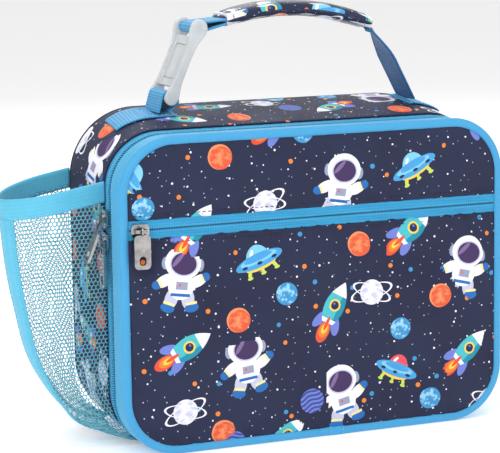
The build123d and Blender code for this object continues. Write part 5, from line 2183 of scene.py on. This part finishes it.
        plate_low, plate_high, middle = 6.6, length - 6.2, (6.6 + length - 6.2) / 2
        hole_low, hole_high = middle - 11.5, middle + 11.0
        parts = [bar(low, high, -self.foot_round, length + self.head_round, cheek)
                 for low, high in ((-outer, -inner), (inner, outer))]
        parts += [
            bar(
                -inner - 0.3, -near, plate_low, plate_high, level
            ), bar(near, inner + 0.3, plate_low, plate_high, level),
            bar(-near - 0.3, near + 0.3, plate_low, hole_low, level),
            bar(-near - 0.3, near + 0.3, hole_high, plate_high, level),
        ]
        for at in (0.0, length):
            ends = (at - bar_radius, at + bar_radius)
            parts.append(bar(-inner - 0.3, inner + 0.3, *ends, lambda d, at=at: rounded(d, at, bar_radius)))
        count, points, faces = 0, [], []
        for spots, quads in parts:
            points.append(spots)
            faces.append(quads + count)
            count += len(spots)
        piece = mesh_object("clip_frame_moulding", np.concatenate(points), np.concatenate(faces))
        outwards(piece)
        self.place(piece, self.cloths.frosted, "clear_plastic", "clip_frame")

    def grip_line(self, count: int) -> tuple[Array, Array]:
        """The grip's middle line and its upward direction, on the circle through its three points."""
        (ax, az), (bx, bz), (cx, cz) = self.grip_ends
        rows = np.array([[bx - ax, bz - az], [cx - bx, cz - bz]]) * 2
        right = np.array([bx**2 + bz**2 - ax**2 - az**2, cx**2 + cz**2 - bx**2 - bz**2])
        centre = np.linalg.solve(rows, right)
        radius = math.hypot(ax - centre[0], az - centre[1])
        first, last = (
            math.atan2(z - centre[1], x - centre[0]) for x, z in (self.grip_ends[0], self.grip_ends[2])
        )
        angle = np.linspace(first, last, count)
        normal = np.stack([np.cos(angle), np.sin(angle)], 1)
        return centre + radius * normal, normal

    def grip(self) -> None:
        """The padded sleeve: a superellipse section that thins to its stitched ends."""
        line, normal = self.grip_line(70)
        far = run_lengths(line)
        ends = np.minimum(far, far[-1] - far)
        fill = 0.55 + 0.45 * (1 - np.exp(-ends / 5.0))
        fill[[0, -1]] *= 0.8
        turn = np.linspace(0, 2 * np.pi, 44, endpoint=False)[None]
        power = 2 / 2.7
        wave = 1 + 0.035 * np.sin(far / 5.3)[:, None] * np.cos(turn) + 0.025 * np.sin(
            far / 2.7 + 1
        )[:, None] * np.sin(turn * 2)
        out = np.sign(np.cos(turn)) * np.abs(np.cos(turn)) ** power * (self.grip_width / 2) * (
            0.97 + 0.03 * fill[:, None]
        )
        up = np.sign(np.sin(turn)) * np.abs(np.sin(turn)) ** power * (
            self.grip_height / 2 + 0.4
        ) * fill[:, None] * wave
        x = line[:, 0:1] + normal[:, 0:1] * up
        z = line[:, 1:2] + normal[:, 1:2] * up
        y = self.level - out
        rings = np.stack([x, y, z], -1)
        around = run_lengths(np.concatenate([rings[35], rings[35, :1]]))[:-1]
        flat = paired(far[:, None], around[None])
        piece = tube_object("grip_cover_cloth", rings, flat)
        lay_print(piece, repeat_layout(110, 75, 11))
        self.place(piece, self.cloths.satin_print, "print_fabric", "grip_cover")
        for label, at in (("left", 3), ("right", 66)):
            ring = np.concatenate([rings[at], rings[at, :1]])
            away = ring - np.array([line[at, 0], self.level, line[at, 1]])
            row = dashes_along(f"grip_{label}_stitches", ring + away * 0.02, away, 2.0, 1.0, 0.5, 0.5)
            self.sew(row, "print_fabric")


# ---------------------------------------------------------------- the studio

@dataclass(frozen=True)
class Studio:
    """Floor, soft light and camera."""

    azimuth: float = -21.85
    elevation: float = 9.34
    roll: float = -0.83
    distance: float = 1.21566
    target: tuple[float, float, float] = (-0.04332, -0.052, 0.13258)
    lens: float = 148.56

    def facing(self, azimuth: float, elevation: float, roll: float = 0.0) -> Matrix:
        """Turn of a camera or lamp that looks at the object from an azimuth and elevation, in degrees."""
        a, e, r = (math.radians(v) for v in (azimuth, elevation, roll))
        back = Vector((math.sin(a) * math.cos(e), -math.cos(a) * math.cos(e), math.sin(e)))
        right = Vector((math.cos(a), math.sin(a), 0.0))
        up = back.cross(right)
        across = right * math.cos(r) + up * math.sin(r)
        upward = up * math.cos(r) - right * math.sin(r)
        return Matrix((across, upward, back)).transposed()

    def stand(
        self, thing: Piece, azimuth: float, elevation: float, distance: float, roll: float = 0.0
    ) -> None:
        """Link a camera or lamp and set it round the target."""
        turn = self.facing(azimuth, elevation, roll)
        bpy.context.scene.collection.objects.link(thing)
        thing.matrix_world = Matrix.Translation(
            Vector(self.target) + turn.col[2] * distance
        ) @ turn.to_4x4()

    def camera(self) -> None:
        """The camera, at the reference view."""
        lens = bpy.data.cameras.new("camera")
        lens.lens, lens.sensor_width = self.lens, 36.0
        lens.clip_end = 20.0
        camera = bpy.data.objects.new("camera", lens)
        self.stand(camera, self.azimuth, self.elevation, self.distance, self.roll)
        bpy.context.scene.camera = camera

    def lights(self) -> None:
        """A large key from the upper left, a fill from the right, a top light and a bright world."""
        for name, azimuth, elevation, distance, size, power in (
            (
                "key", -48.0, 42.0, 1.6, 1.3, 12.0
            ), ("fill", 42.0, 25.0, 1.8, 1.6, 6.0), ("top", -10.0, 84.0, 1.5, 1.4, 6.5),
            ("rim", 165.0, 35.0, 1.7, 1.2, 8.0),
        ):
            lamp = bpy.data.lights.new(name, "AREA")
            lamp.shape, lamp.size, lamp.energy = "DISK", size, power
            self.stand(bpy.data.objects.new(name, lamp), azimuth, elevation, distance)
        world = bpy.data.worlds.new("studio")
        world.use_nodes = True
        world.node_tree.nodes["Background"].inputs["Color"].default_value = (1.0, 1.0, 1.0, 1.0)
        world.node_tree.nodes["Background"].inputs["Strength"].default_value = 0.6
        bpy.context.scene.world = world
        bpy.context.scene.view_settings.view_transform = "Standard"

    def floor(self) -> None:
        """A wide plain floor at the bag's foot."""
        corners = np.array([(-6000.0, -6000, 0), (6000, -6000, 0), (6000, 6000, 0), (-6000, 6000, 0)])
        floor = mesh_object("studio_floor", corners, np.array([[0, 1, 2, 3]]))
        dress(floor, FloorFinish().material())

    def build(self) -> None:
        """Set up the studio."""
        self.camera()
        self.lights()
        self.floor()


def main() -> None:
    """Build the studio, then each sub-assembly, and report the pieces."""
    Studio().build()
    cloths = Cloths()
    for part in (Lid(cloths), Body(cloths), Hardware(cloths), BottlePocket(cloths), Handle(cloths)):
        part.build()
        log.info("%s: %d new pieces", type(part).__name__, len(part.pieces))


if __name__ == "__main__":
    main()
